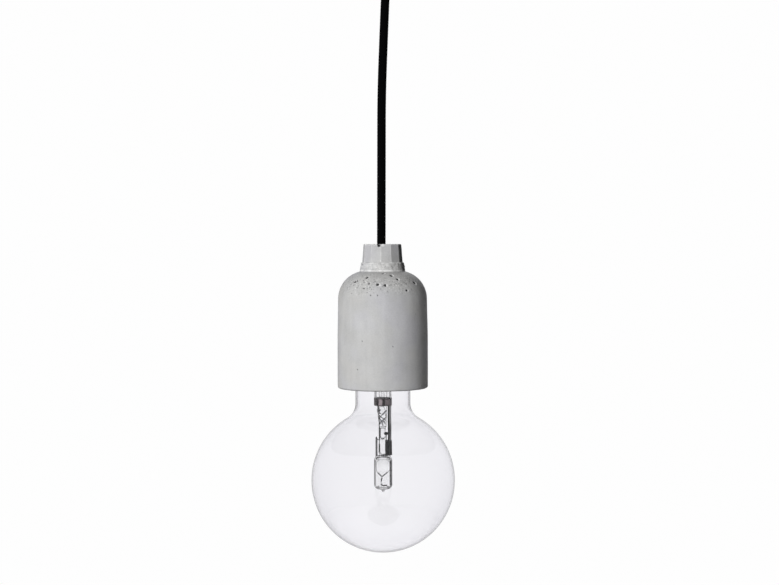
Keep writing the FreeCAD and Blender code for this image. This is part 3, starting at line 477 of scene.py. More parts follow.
# Sideways place and height above the collar: the design's points, and one more on the long straight run.
CORD_ROUTE = [(0.0, 172.0), (-2.1, 125.0), (-3.1, 95.0), (-3.25, 65.0), (-3.8, -44.0)]
BRAID_YARNS = 12            # strands each way round
BRAID_PITCH = 26.0          # one strand's climb in a full turn
BRAID_COLUMNS = 96
BRAID_ROW = 0.32
BRAID_RELIEF = 0.12
BRAID_STAND = 0.24          # how far the braid's crests stand out past the cord's nominal size


def cord_path():
    """The middle line of the cord, read from its NURBS route and spaced evenly."""
    data = bpy.data.curves.new("cord_route", "CURVE")
    data.dimensions, data.resolution_u = "3D", 48
    spline = data.splines.new("NURBS")
    spline.points.add(len(CORD_ROUTE) - 1)
    for point, (across, height) in zip(spline.points, CORD_ROUTE):
        point.co = (across * MM, 0, PIVOT.z - (CORD_DROP - height) * MM, 1)
    spline.order_u = 3
    spline.use_endpoint_u = True
    route = bpy.data.objects.new("cord_route", data)
    mesh = bpy.data.meshes.new_from_object(route)
    line = [v.co.copy() for v in mesh.vertices]
    bpy.data.objects.remove(route)
    bpy.data.meshes.remove(mesh)
    lengths = [0.0]
    for a, b in zip(line, line[1:]):
        lengths.append(lengths[-1] + (b - a).length)
    count = round(lengths[-1] / (BRAID_ROW * MM))
    even, k = [], 0
    for i in range(count + 1):
        want = lengths[-1] * i / count
        while k < len(line) - 2 and lengths[k + 1] < want:
            k += 1
        share = (want - lengths[k]) / (lengths[k + 1] - lengths[k])
        even.append(line[k].lerp(line[k + 1], share))
    return even, lengths[-1]


def braid(around, along):
    """Height of the braid from 0 to 1, with the over and under of two sets of strands."""
    climb = along / BRAID_PITCH
    right, left = (around + climb) * BRAID_YARNS, (around - climb) * BRAID_YARNS
    over = (math.floor(right) + math.floor(left)) % 2 == 0
    across, length = (right, left) if over else (left, right)
    hump = math.cos(math.pi * (across % 1 - 0.5))
    dive = math.cos(math.pi * (length % 1 - 0.5))
    return hump**0.7 * (0.45 + 0.55 * dive)


def make_cord():
    path, length = cord_path()
    base = CORD_DIAMETER / 2 + BRAID_STAND - BRAID_RELIEF

    def radius(i, turn):
        return (base + BRAID_RELIEF * braid(turn / (2 * math.pi), i * BRAID_ROW)) * MM

    shape = tube_mesh(path, radius, BRAID_COLUMNS)
    cord = piece("textile_cord", shape, "pendant", "textile", TEXTILE, "cord")
    mesh = cord.data
    yarn = mesh.attributes.new("yarn", "FLOAT", "POINT")
    lie = mesh.uv_layers.new(name="yarn_lie")
    for i in range(len(mesh.vertices)):
        row, column = divmod(i, BRAID_COLUMNS)
        yarn.data[i].value = braid(column / BRAID_COLUMNS, row * BRAID_ROW)
    for face in mesh.polygons:
        columns = [mesh.loops[k].vertex_index % BRAID_COLUMNS for k in face.loop_indices]
        wraps = max(columns) - min(columns) > BRAID_COLUMNS / 2
        for k, column in zip(face.loop_indices, columns):
            row = mesh.loops[k].vertex_index // BRAID_COLUMNS
            around = (column + (BRAID_COLUMNS if wraps and column == 0 else 0)) / BRAID_COLUMNS
            lie.data[k].uv = (around * 8, row * BRAID_ROW * 0.6)
    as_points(path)


# ---- the concrete cover -------------------------------------------------------------------

SHELL_RADIUS = 29.95
SHELL_TOP_RADIUS = 29.45
DRAFT_LOW = -61.0
SHOULDER_RADIUS = 18.5
SHOULDER_TOP = -17.5
SHELL_LENGTH = 95.0
RIM_EDGE = 1.2
CAVITY_RADIUS = 21.5
CAVITY_TOP = -28.0
CAVITY_CORNER = 6.0
CORD_HOLE_RADIUS = 4.0
NIPPLE_HOLE_RADIUS = 5.05
NIPPLE_TOP = -8.0
COLLAR_SIDES = 12
COLLAR_TURN = -4.0
COLLAR_LOW = -12.1
COLLAR_TOP_RADIUS = 12.6
COLLAR_LOW_RADIUS = 13.5
RING_TOP_RADIUS = 14.35
RING_LOW_RADIUS = 15.2
RING_EDGE = 0.5
COVER_COLUMNS = 360
FINE_STEP = 0.42
WALL_STEP = 0.68
INSIDE_STEP = 2.5
FRONT = -math.pi / 2

SHOULDER = (SHELL_TOP_RADIUS - SHOULDER_RADIUS, SHOULDER_TOP - SHOULDER_RADIUS)

# Air holes at the front: degrees round to the right, height, radius.
PORES = [
    (2.5, -18.9, 0.8), (16.5, -20.2, 1.1), (24.5, -22.6, 0.95), (54.5, -25.1, 1.2), (34, -29.9, 0.7),
    (-26.5, -21.4, 1.0), (-45, -24.3, 0.9), (-41, -23.6, 0.6), (-19.5, -25.2, 0.75), (-6.6, -25.8, 1.05),
    (3.9, -26.4, 0.95), (-25.5, -28.4, 0.5), (-15, -32.9, 0.35), (-6, -32.9, 0.35), (13, -65.8, 0.45),
    (-67, -13.4, 0.8), (-30, -23.3, 0.45), (11, -24.0, 0.35), (-11, -23.8, 0.35), (-36, -26.9, 0.35),
    (-17, -27.6, 0.4), (-50, -25.6, 0.35), (-33, -81.0, 0.35), (20, -25.0, 0.3), (-22, -24.0, 0.3),
    (-14, -29.0, 0.3), (-2, -28.8, 0.3), (7, -30.4, 0.25), (-20, -31.0, 0.25), (-30, -26.0, 0.3),
]
SCATTERED_PORES = 150
PORE_DEPTH = 1.3
# Pale chips where the skin has come off: degrees round to the right, height, radius.
CHIPS = [
    (-8, -2.1, 0.55), (13, -2.6, 0.5), (-5, -10.9, 0.6), (17.5, -20.6, 0.6), (25, -24.2, 0.5), (2, -0.4, 1.6),
]
NOTCH_TURN = -10.5          # a chip out of the collar's top edge, in front of the cord
NOTCH_HALF_WIDTH = 1.3
NOTCH_DEPTH = 1.1


def ring_low_angle():
    """Where the ring meets the round of the shoulder, in degrees up from level."""
    return math.degrees(math.acos((RING_LOW_RADIUS - SHOULDER[0]) / SHOULDER_RADIUS))


def cover_outline():
    """The outline from the hole's top edge down the outside and up the inside, and its outside length."""
    meet = ring_low_angle()
    ring_low = SHOULDER[1] + SHOULDER_RADIUS * math.sin(math.radians(meet))
    rim = -SHELL_LENGTH
    soft, hole_edge = 0.4, 0.5
    collar_edge = COLLAR_TOP_RADIUS - soft
    ring_edge = RING_TOP_RADIUS - RING_EDGE
    outside = run((CORD_HOLE_RADIUS + hole_edge, 0), (collar_edge, 0, 0.8))
    outside += bow((collar_edge, -soft), soft, 90, 0, 0.2)
    outside += run(
        (COLLAR_TOP_RADIUS, -soft), (COLLAR_LOW_RADIUS, COLLAR_LOW, 0.5), (ring_edge, COLLAR_LOW, 0.3)
    )
    outside += bow((ring_edge, COLLAR_LOW - RING_EDGE), RING_EDGE, 90, 0, 0.25)
    outside += run((RING_TOP_RADIUS, COLLAR_LOW - RING_EDGE), (RING_LOW_RADIUS, ring_low, FINE_STEP))
    outside += bow(SHOULDER, SHOULDER_RADIUS, meet, 0, FINE_STEP)
    outside += run(
        (SHELL_TOP_RADIUS, SHOULDER[1]), (SHELL_RADIUS, DRAFT_LOW, WALL_STEP),
        (SHELL_RADIUS, rim + RIM_EDGE, WALL_STEP),
    )
    outside += bow((SHELL_RADIUS - RIM_EDGE, rim + RIM_EDGE), RIM_EDGE, 0, -90, 0.3)
    outside += run((SHELL_RADIUS - RIM_EDGE, rim), (CAVITY_RADIUS + RIM_EDGE, rim, WALL_STEP))
    inside = bow((CAVITY_RADIUS + RIM_EDGE, rim + RIM_EDGE), RIM_EDGE, 270, 180, 0.3)
    inside += run((CAVITY_RADIUS, rim + RIM_EDGE), (CAVITY_RADIUS, CAVITY_TOP - CAVITY_CORNER, INSIDE_STEP))
    corner = (CAVITY_RADIUS - CAVITY_CORNER, CAVITY_TOP - CAVITY_CORNER)
    inside += bow(corner, CAVITY_CORNER, 0, 90, 1.2)
    inside += run(
        (corner[0], CAVITY_TOP), (NIPPLE_HOLE_RADIUS, CAVITY_TOP, INSIDE_STEP),
        (NIPPLE_HOLE_RADIUS, NIPPLE_TOP, INSIDE_STEP), (CORD_HOLE_RADIUS, NIPPLE_TOP, 0.8),
        (CORD_HOLE_RADIUS, -hole_edge, 0.8),
    )
    inside += bow((CORD_HOLE_RADIUS + hole_edge, -hole_edge), hole_edge, 180, 90, 0.2)
    return outside + inside, len(outside)


def faceted(radius, turn, height):
    """The radius on the collar's twelve flat sides. They fade out towards the middle of its top."""
    if height < COLLAR_LOW + 0.01 or radius < CORD_HOLE_RADIUS + 2:
        return radius
    half = math.pi / COLLAR_SIDES
    first = FRONT + math.radians(COLLAR_TURN)
    sharpness = 0.94
    flat = math.cos(half) / math.cos((turn - first) % (2 * half) - half)
    return radius * (1 - sharpness + sharpness * flat)


def cover_radius(height):
    """The radius of the outside at a height."""
    if height > COLLAR_LOW:
        return COLLAR_TOP_RADIUS + (COLLAR_LOW_RADIUS - COLLAR_TOP_RADIUS) * height / COLLAR_LOW
    if height > SHOULDER_TOP - 0.3:
        share = (height - COLLAR_LOW) / (SHOULDER_TOP - COLLAR_LOW)
        return RING_TOP_RADIUS + (RING_LOW_RADIUS - RING_TOP_RADIUS) * share
    if height > SHOULDER[1]:
        return SHOULDER[0] + math.sqrt(SHOULDER_RADIUS**2 - (height - SHOULDER[1]) ** 2)
    share = min(1, (height - SHOULDER[1]) / (DRAFT_LOW - SHOULDER[1]))
    return SHELL_TOP_RADIUS + (SHELL_RADIUS - SHELL_TOP_RADIUS) * share


def near(value, centre, reach):
    """1 at the centre and 0 from the reach on."""
    return max(0.0, 1 - abs(value - centre) / reach)


def lumps(point, height):
    """How far the surface stands off the mould's: gentle all over, and coarse on the ring and the rims."""
    scale = point / MM
    swell = noise.noise(scale / 17.0) * 0.10 + noise.noise(scale / 5.0) * 0.05
    grit = noise.noise(scale / 1.3) * 0.025 + noise.noise(scale / 0.6) * 0.012
    coarse = noise.noise(scale / 2.0 + Vector((9, 2, 5))) * 0.45 * near(height, -14.4, 3.2)
    chips = -abs(noise.noise(scale / 1.8 + Vector((3, 7, 1)))) * 0.25 * near(height, -SHELL_LENGTH, 2.0)
    crumbs = noise.noise(scale / 1.1 + Vector((1, 4, 8))) * 0.25 * near(height, 0, 0.9)
    return swell + grit + coarse + chips + crumbs - 0.12


def notch(point, turn, height):
    """How far the chip in the collar's top edge takes a point down."""
    ahead = (turn - FRONT + math.pi) % (2 * math.pi) - math.pi
    reach = (point - lamp_point(0, 0, height)).length / MM
    beside = (ahead - math.radians(NOTCH_TURN)) * reach / NOTCH_HALF_WIDTH
    if abs(beside) > 1 or abs(ahead) > 1:
        return 0.0
    return NOTCH_DEPTH * (1 - beside**4) * max(0.0, 1 + height / 2.5) * min(1.0, max(0.0, (reach - 4) / 2))


def pore_places():
    """All the pores as points of the row frame with a radius, most of them on the shoulder."""
    dice = random.Random(11)
    spots = list(PORES)
    for _ in range(SCATTERED_PORES):
        high = dice.random() < 0.72
        height = dice.gauss(-25.5, 4.5) if high else dice.uniform(-90, -30)
        turn = dice.uniform(75, 285) if dice.random() < 0.75 else dice.uniform(-75, 75)
        size = 0.16 + 0.6 * dice.random() ** 3
        if abs(turn) < 75:
            size = min(size, 0.24)
        if -35 < height < -18 or not high:
            spots.append((turn, height, size))
    return [(surface_point(turn, height), size) for turn, height, size in spots]


def surface_point(degrees, height):
    """A point on the outside of the cover, at an angle round to the right of the front."""
    return lamp_point(cover_radius(height), math.radians(degrees) + FRONT, height)


def make_cover():
    outline, outside = cover_outline()

    def place(radius, turn, height):
        return lamp_point(faceted(radius, turn, height), turn, height)

    shape = lathe(outline, COVER_COLUMNS, True, place)
    cover = piece("concrete_cover", shape, "pendant", "concrete", CONCRETE, "concrete_shell")
    cover.visible_glossy = False
    mesh = cover.data
    normals = [v.normal.copy() for v in mesh.vertices]
    count = outside * COVER_COLUMNS
    marks = {name: [0.0] * len(mesh.vertices) for name in ("painted_pit_shade", "edge", "painted_shade", "coarse")}
    tree = kdtree.KDTree(count)
    for i in range(count):
        vertex = mesh.vertices[i]
        height = (vertex.co.z - TOP_Z) / MM
        turn = math.atan2(vertex.co.y, vertex.co.x - LAMP_X)
        marks["edge"][i] = edge_wear(vertex.co, turn, height)
        # Painted shade along the round of the rim, where it faces down.
        marks["painted_shade"][i] = 0.75 * near(height, -SHELL_LENGTH, 1.1)
        # Painted shade on the right side of the collar and the ring.
        shade = 0.8 * ease(math.cos(turn), 0.84, 0.9) * ease(height, SHOULDER_TOP - 0.5, SHOULDER_TOP + 0.5)
        marks["painted_shade"][i] = max(marks["painted_shade"][i], shade)
        vertex.co += normals[i] * lumps(vertex.co, height) * MM
        sunk = notch(vertex.co, turn, height)
        # Painted shade inside the notch.
        marks["painted_pit_shade"][i] = 0.95 * ease(sunk, 0.25, 0.7)
        marks["coarse"][i] = near(height, -25, 10) + near(height, -14.6, 3)
        vertex.co.z -= sunk * MM
        tree.insert(vertex.co, i)
    tree.balance()
    for place, size in pore_places():
        sink_pore(mesh, normals, tree, marks, place, size)
    for degrees, height, size in CHIPS:
        for co, i, far in tree.find_range(surface_point(degrees, height), size * MM):
            marks["edge"][i] = max(marks["edge"][i], 0.9 * (1 - (far / (size * MM)) ** 2))
    for name, values in marks.items():
        layer = mesh.attributes.new(name, "FLOAT", "POINT")
        layer.data.foreach_set("value", values)
    mesh.update()


def sink_pore(mesh, normals, tree, marks, place, size):
    """Push a round pit into the surface, with painted shade inside, and a pale chipped rim on one side that
    is also a painted highlight.
    """
    lit_side = Vector((0.8, 0, -0.6))
    for co, i, far in tree.find_range(place, size * 1.9 * MM):
        wobble = 1 + 0.25 * noise.noise(co / MM * 1.7)
        share = far / (size * wobble * MM)
        if share < 1:
            depth = math.sqrt(1 - share**2)
            mesh.vertices[i].co -= normals[i] * depth * size * PORE_DEPTH * MM
            # Painted shade inside the pit.
            marks["painted_pit_shade"][i] = max(marks["painted_pit_shade"][i], min(1.0, depth * 2.2))
            marks["edge"][i] = 0.0
        elif size > 0.5:
            # A pale chipped rim on the lower right of the larger pits: partly wear, partly a painted
            # highlight where the light falls.
            side = (co - place).normalized().dot(lit_side)
            chip = max(0.0, side) * (1.9 - share) * (0.9 + noise.noise(co / MM * 1.1))
            marks["edge"][i] = max(marks["edge"][i], min(1.0, chip * 2.2))


def edge_wear(spot, turn, height):
    """How much paler a point is, on the collar's corners, round the ring and on its foot."""
    patch = 0.5 + noise.noise(spot / MM / 2.5)
    if height > COLLAR_LOW + 0.2:
        step = 2 * math.pi / COLLAR_SIDES
        first = FRONT + math.radians(COLLAR_TURN)
        corner = abs((turn - first + step / 2) % step - step / 2) / step
        wear = max(0.0, 1 - corner * 14) * 0.5 + near(height, 0, 0.8)
    else:
        wear = near(height, COLLAR_LOW, 0.7) + 1.8 * near(height, SHOULDER_TOP + 0.2, 0.7)
        wear += 0.5 * near(height, -14.4, 2.5)
    return max(0.0, min(0.85, wear * patch))


# ---- the bulb -----------------------------------------------------------------------------

GLOBE_RADIUS = 47.5
GLOBE_CENTRE = -156.3
NECK_RADIUS = 18.15
NECK_FILLET = 11.6
GLASS_WALL = 0.8
GLASS_TOP = -72.0
CAP_LOW = -88.0
FLARE_LOW = -96.0
GLASS_IN_CAP = 11.4
GLOBE_COLUMNS = 192
STEM_RADIUS = 5.6
STEM_LOW = -106.6
STEM_BEND = -91.0
PIPE_RADIUS = 1.2
BAND_TOP = -101.6
BAND_RADIUS = 5.95
# The squeezed glass: height, middle, and radius from side to side and from front to back.
PRESS = [
    (STEM_LOW, -0.5, 3.4, 3.2), (-110.6, -0.6, 3.3, 2.4), (-116.1, -0.3, 2.8, 1.7), (-121.0, -0.2, 2.4, 1.6),
]
PRESS_LOW = PRESS[-1][0]
# Its folds at the front: both ends across and up, and half a width.
FOLDS = [
    (-4.0, -108.2, -2.2, -111.4, 0.55), (-2.2, -111.4, -1.0, -112.2, 0.5), (-1.2, -109.4, -2.6, -111.8, 0.4),
    (2.4, -110.3, 0.0, -113.0, 0.75), (-2.9, -112.8, 2.1, -117.2, 0.5), (1.9, -111.4, 2.2, -114.2, 0.4),
    (-0.4, -113.2, -3.4, -118.6, 0.45), (2.3, -115.2, -1.9, -119.2, 0.55), (-2.4, -114.6, 0.4, -119.9, 0.5),
    (0.4, -116.9, 1.9, -119.0, 0.45), (-1.0, -117.3, 0.6, -118.2, 0.7), (1.2, -107.4, 1.5, -109.4, 0.3),
]
BEAD_X = -0.2
BEAD_RADIUS = 2.0
BEAD_LOW = -129.3
PINCH_TOP = -129.6
PINCH_LOW = -140.3
PINCH_HALF_WIDTH = 5.0
PINCH_HALF_DEPTH = 1.6
CAPSULE_RADIUS = 6.05
CAPSULE_WALL = 0.6
CAPSULE_TOP = -142.4
CAPSULE_LOW = -162.3
CAPSULE_CORNER = 3.0
CAPSULE_TIP = -164.4
ROOM_TOP = -141.3
ROOM_CORNER = 3.2
LEFT_LEAD_X = -2.4
RIGHT_LEAD_X = 2.1
WELD = (2.2, -2.9, -125.1)
WELD_RADIUS = 1.3
STRIP_LEFT = 3.2
STRIP_RIGHT = 5.5
STRIP_FRONT = -2.3
STRIP_THICKNESS = 0.5
CLIP_LEFT = 1.4
CLIP_RIGHT = 5.9
CLIP_TOP = -130.0
CLIP_LOW = -139.6
FOIL_X = 2.2
INNER_LEAD_X = 4.5
FILAMENT = [(-3.7, -151.4), (-0.8, -154.1), (2.9, -151.2)]
COIL_RADIUS = 0.36
COIL_PITCH = 0.26
COIL_WIRE = 0.095
COIL_STEPS = 14             # points in one turn of the coil
# Points round each piece.
STEM_COLUMNS = 72
PIPE_COLUMNS = 40
BAND_COLUMNS = 180
PRESS_COLUMNS = 96
BEAD_COLUMNS = 48
CAPSULE_COLUMNS = 96
STRIP_COLUMNS = 40
WELD_COLUMNS = 24
WIRE_COLUMNS = 14


def globe_line(grow):
    """The envelope's outline from the cap to the lowest point, made thicker by grow."""
    ball, neck, fillet = GLOBE_RADIUS + grow, NECK_RADIUS + grow, NECK_FILLET - grow
    across = neck + fillet
    fillet_z = GLOBE_CENTRE + math.sqrt((ball + fillet) ** 2 - across**2)
    slope = math.degrees(math.atan2(fillet_z - GLOBE_CENTRE, across))
    top = GLASS_IN_CAP + grow
    rise, fall = neck - top, CAP_LOW - FLARE_LOW
    bend = (rise**2 + fall**2) / (4 * rise)
    half = math.degrees(math.asin(fall / 2 / bend))
    line = run((top, GLASS_TOP), (top, CAP_LOW, 2.0))
    line += bow((top + bend, CAP_LOW), bend, 180, 180 + half, 0.5)
    line += bow((neck - bend, FLARE_LOW), bend, half, 0, 0.5)
    line += run((neck, FLARE_LOW), (neck, fillet_z, 1.2))
    line += bow((across, fillet_z), fillet, 180, 180 + slope, 0.6)
    line += bow((0, GLOBE_CENTRE), ball, slope, -90, 1.4)
    return line


def make_globe():
    outer, inner = globe_line(0), globe_line(-GLASS_WALL)
    outline = outer + [(0, GLOBE_CENTRE - GLOBE_RADIUS)]
    outline += [(0, GLOBE_CENTRE - GLOBE_RADIUS + GLASS_WALL)] + inner[::-1]
    shape = lathe(outline, GLOBE_COLUMNS, True)
    globe = piece("blown_globe", shape, "bulb", "clear_glass", GLOBE_GLASS, "globe_glass")

    def brim(x, y, z):
        # Widens the painted dark edge lines on the neck and narrows them on the globe, most of all just below
        # the neck.
        return 0.3 * ease(z, -113, -109) - 0.1 - 0.4 * (ease(z, -134, -122) - ease(z, -113.5, -110.5))

    mark(globe, "brim", brim)


def make_stem():
    """The flared glass tube down the neck, and the exhaust tube in it."""
    outer, inner = STEM_RADIUS, STEM_RADIUS - GLASS_WALL
    flare = GLASS_IN_CAP - GLASS_WALL - outer - 0.02
    line = [(0, STEM_LOW)] + run((0.6, STEM_LOW), (outer - 0.6, STEM_LOW, 0.8))
    line += bow((outer - 0.6, STEM_LOW + 0.6), 0.6, -90, 0, 0.2)
    line += run((outer, STEM_LOW + 0.6), (outer, STEM_BEND, 0.8))
    line += bow((outer + flare, STEM_BEND), flare, 180, 90, 0.6)
    line += run((outer + flare, STEM_BEND + flare), (outer + flare, STEM_BEND + flare + GLASS_WALL, 0.4))
    line += bow((outer + flare, STEM_BEND), flare + GLASS_WALL, 90, 180, 0.6)
    line += run((inner, STEM_BEND), (inner, STEM_LOW + 1.6, 0.8))
    line += bow((inner - 0.6, STEM_LOW + 1.6), 0.6, 0, -90, 0.2)
    line += [(0, STEM_LOW + 1.0)]
    piece("stem_tube", lathe(line, STEM_COLUMNS), "bulb", "clear_glass", STEM_GLASS, "stem_glass")
    wide, bore, top = PIPE_RADIUS, PIPE_RADIUS - 0.4, -78.0
    low = STEM_LOW + 1.0
    pipe = run((wide, low), (wide, top, 1.0), (bore, top, 0.5), (bore, low, 1.0)) + [(bore, low)]
    piece("exhaust_pipe", lathe(pipe, PIPE_COLUMNS, True), "bulb", "clear_glass", STEM_GLASS, "exhaust_tube")


def make_band():
    """A rolled metal band with a lapped, pinched ear at the back, painted near black all round as a dark
    reflection, with painted highlights left bare: a pale one left of the front, and warm reddish ones right
    of it and far to the left.
    """
    ear = math.pi * 0.62

    def place(radius, turn, height):
        ruffle = 0.05 * math.sin(3 * turn) + 0.04 * noise.noise(Vector((turn * 2, height, 4)))
        lap = max(0.0, 1 - abs(turn - ear) / 0.16)
        wavy = radius + ruffle * (radius > STEM_RADIUS + 0.1)
        return lamp_point(wavy + 0.5 * lap * (radius > 5.8), turn, height)

    line = run(
        (BAND_RADIUS - 0.08, STEM_LOW), (BAND_RADIUS, STEM_LOW + 0.1, 0.1),
        (BAND_RADIUS, BAND_TOP - 0.1, 0.4), (BAND_RADIUS - 0.08, BAND_TOP, 0.1),
        (STEM_RADIUS + 0.02, BAND_TOP, 0.3), (STEM_RADIUS + 0.02, STEM_LOW, 0.6),
        (BAND_RADIUS - 0.08, STEM_LOW, 0.3),
    )
    shape = lathe(line, BAND_COLUMNS, True, place)
    band = piece("rolled_band", shape, "bulb", "lead_metal", BAND_METAL, "stem_band")

    def painted_dark(x, y, z):
        turn = math.degrees(math.atan2(x, -y)) + 4 * noise.noise(Vector((x, y, z * 0.6)))
        # Painted highlights, where the band is left bare: a pale one left of the front, and warm ones right
        # of it and far to the left.
        bright = ease(turn, -31, -24) - ease(turn, -8, -2)
        warm = 0.3 * (ease(turn, 12, 17) - ease(turn, 46, 58))
        warm += 0.12 * (ease(turn, -62, -58) - ease(turn, -52, -44))
        behind = 0.5 + noise.noise(Vector((x * 0.5, y * 0.5, z * 0.2))) if abs(turn) > 80 else 0
        # The painted highlights fade towards the band's top and bottom edges.
        edge = ease(abs(z - (STEM_LOW + BAND_TOP) / 2), 1.5, 2.3)
        return min(1.0, max(0.0, 0.93 - 0.93 * max(bright, warm, behind) * (1 - 0.7 * edge)))

    mark(band, "metal_darkening", painted_dark)


def crease(x, y, z):
    """How deep the crossed folds of the squeezed glass are at a point, from 0 to 1."""
    if y > 0:
        return 0.0
    deepest = 0.0
    for x0, z0, x1, z1, width in FOLDS:
        run_x, run_z = x1 - x0, z1 - z0
        share = ((x - x0) * run_x + (z - z0) * run_z) / (run_x**2 + run_z**2)
        share = min(1.0, max(0.0, share))
        gap = math.hypot(x - x0 - share * run_x, z - z0 - share * run_z)
        deepest = max(deepest, 1 - ease(gap, width * 0.5, width * 0.9))
    return deepest


def make_press():
    """The squeezed glass under the stem: an uneven taper with crossed folds."""
    rings = []
    for (z0, x0, wide0, deep0), (z1, x1, wide1, deep1) in zip(PRESS, PRESS[1:]):
        steps = round((z0 - z1) / 0.2)
        for k in range(steps + (z1 == PRESS_LOW)):
            s = k / steps
            height, across = z0 + (z1 - z0) * s, x0 + (x1 - x0) * s
            wide, deep = wide0 + (wide1 - wide0) * s, deep0 + (deep1 - deep0) * s
            fade = min(1.0, (STEM_LOW - height) / 1.2, (height - PRESS_LOW) / 1.0)
            ring = []
            for j in range(PRESS_COLUMNS):
                turn = 2 * math.pi * j / PRESS_COLUMNS
                x, y = wide * math.cos(turn), deep * math.sin(turn)
                lump = 0.10 * noise.noise(Vector((x, y, height)) * 0.55)
                swell = 1 + fade * (lump - 0.14 * crease(x, y, height))
                ring.append(spot_of(across + x * swell, y * swell, height))
            rings.append(ring)
    press = piece("crumpled_press", skin(rings), "bulb", "clear_glass", PRESS_GLASS, "stem_press")

    def painted_dark(x, y, z):
        # Painted shade along the folds, and a dark line at the lowest edge.
        fade = min(1.0, max(0.0, (STEM_LOW - z) / 2.0)) * ease(z, PRESS_LOW, PRESS_LOW + 1)
        return min(1.0, crease(x + 0.4, y, z) * fade + 0.75 * near(z, PRESS_LOW, 0.5))

    mark(press, "painted_dark", painted_dark)


def make_bead():
    """The stub of tube under the press, with a hollow and a rounded end."""
    low = BEAD_LOW + BEAD_RADIUS

    def place(r, turn, height):
        return lamp_point(r, turn, height) + Vector((BEAD_X * MM, 0, 0))

    top, corner = PRESS_LOW - 0.02, BEAD_RADIUS - 0.3
    outline = [(0, top)] + run((0.5, top), (corner, top, 0.5)) + bow((corner, top - 0.3), 0.3, 90, 0, 0.1)
    outline += run((BEAD_RADIUS, top - 0.3), (BEAD_RADIUS, low, 0.5))
    outline += bow((0, low), BEAD_RADIUS, 0, -90, 0.3) + [(0, BEAD_LOW)]
    inner = BEAD_RADIUS - 0.6
    hollow = [(0, BEAD_LOW + 0.6)] + bow((0, low), inner, -90, 0, 0.3)[1:]
    hollow += run((inner, low), (inner, PRESS_LOW - 0.8, 0.5))
    hollow += [(inner, PRESS_LOW - 0.8), (0, PRESS_LOW - 0.7)]
    shape = join(lathe(outline, BEAD_COLUMNS, False, place), lathe(hollow, BEAD_COLUMNS, False, place))
    bead = piece("glass_bead", shape, "bulb", "clear_glass", STEM_GLASS, "bead_tube")
    turn_inside_out(bead, BEAD_COLUMNS * (len(hollow) - 2) + 2)
    # Darker towards its rounded lower end.
    mark(bead, "painted_dark", lambda x, y, z: 0.8 * ease(BEAD_LOW + 0.9 - z, 0, 0.6))


def turn_inside_out(obj, count):
    """Flip the faces of the last count vertices, so that they bound a hollow."""
    mesh = obj.data
    first = len(mesh.vertices) - count
    work = bmesh.new()
    work.from_mesh(mesh)
    inner = [f for f in work.faces if all(v.index >= first for v in f.verts)]
    bmesh.ops.reverse_faces(work, faces=inner)
    work.to_mesh(mesh)
    work.free()


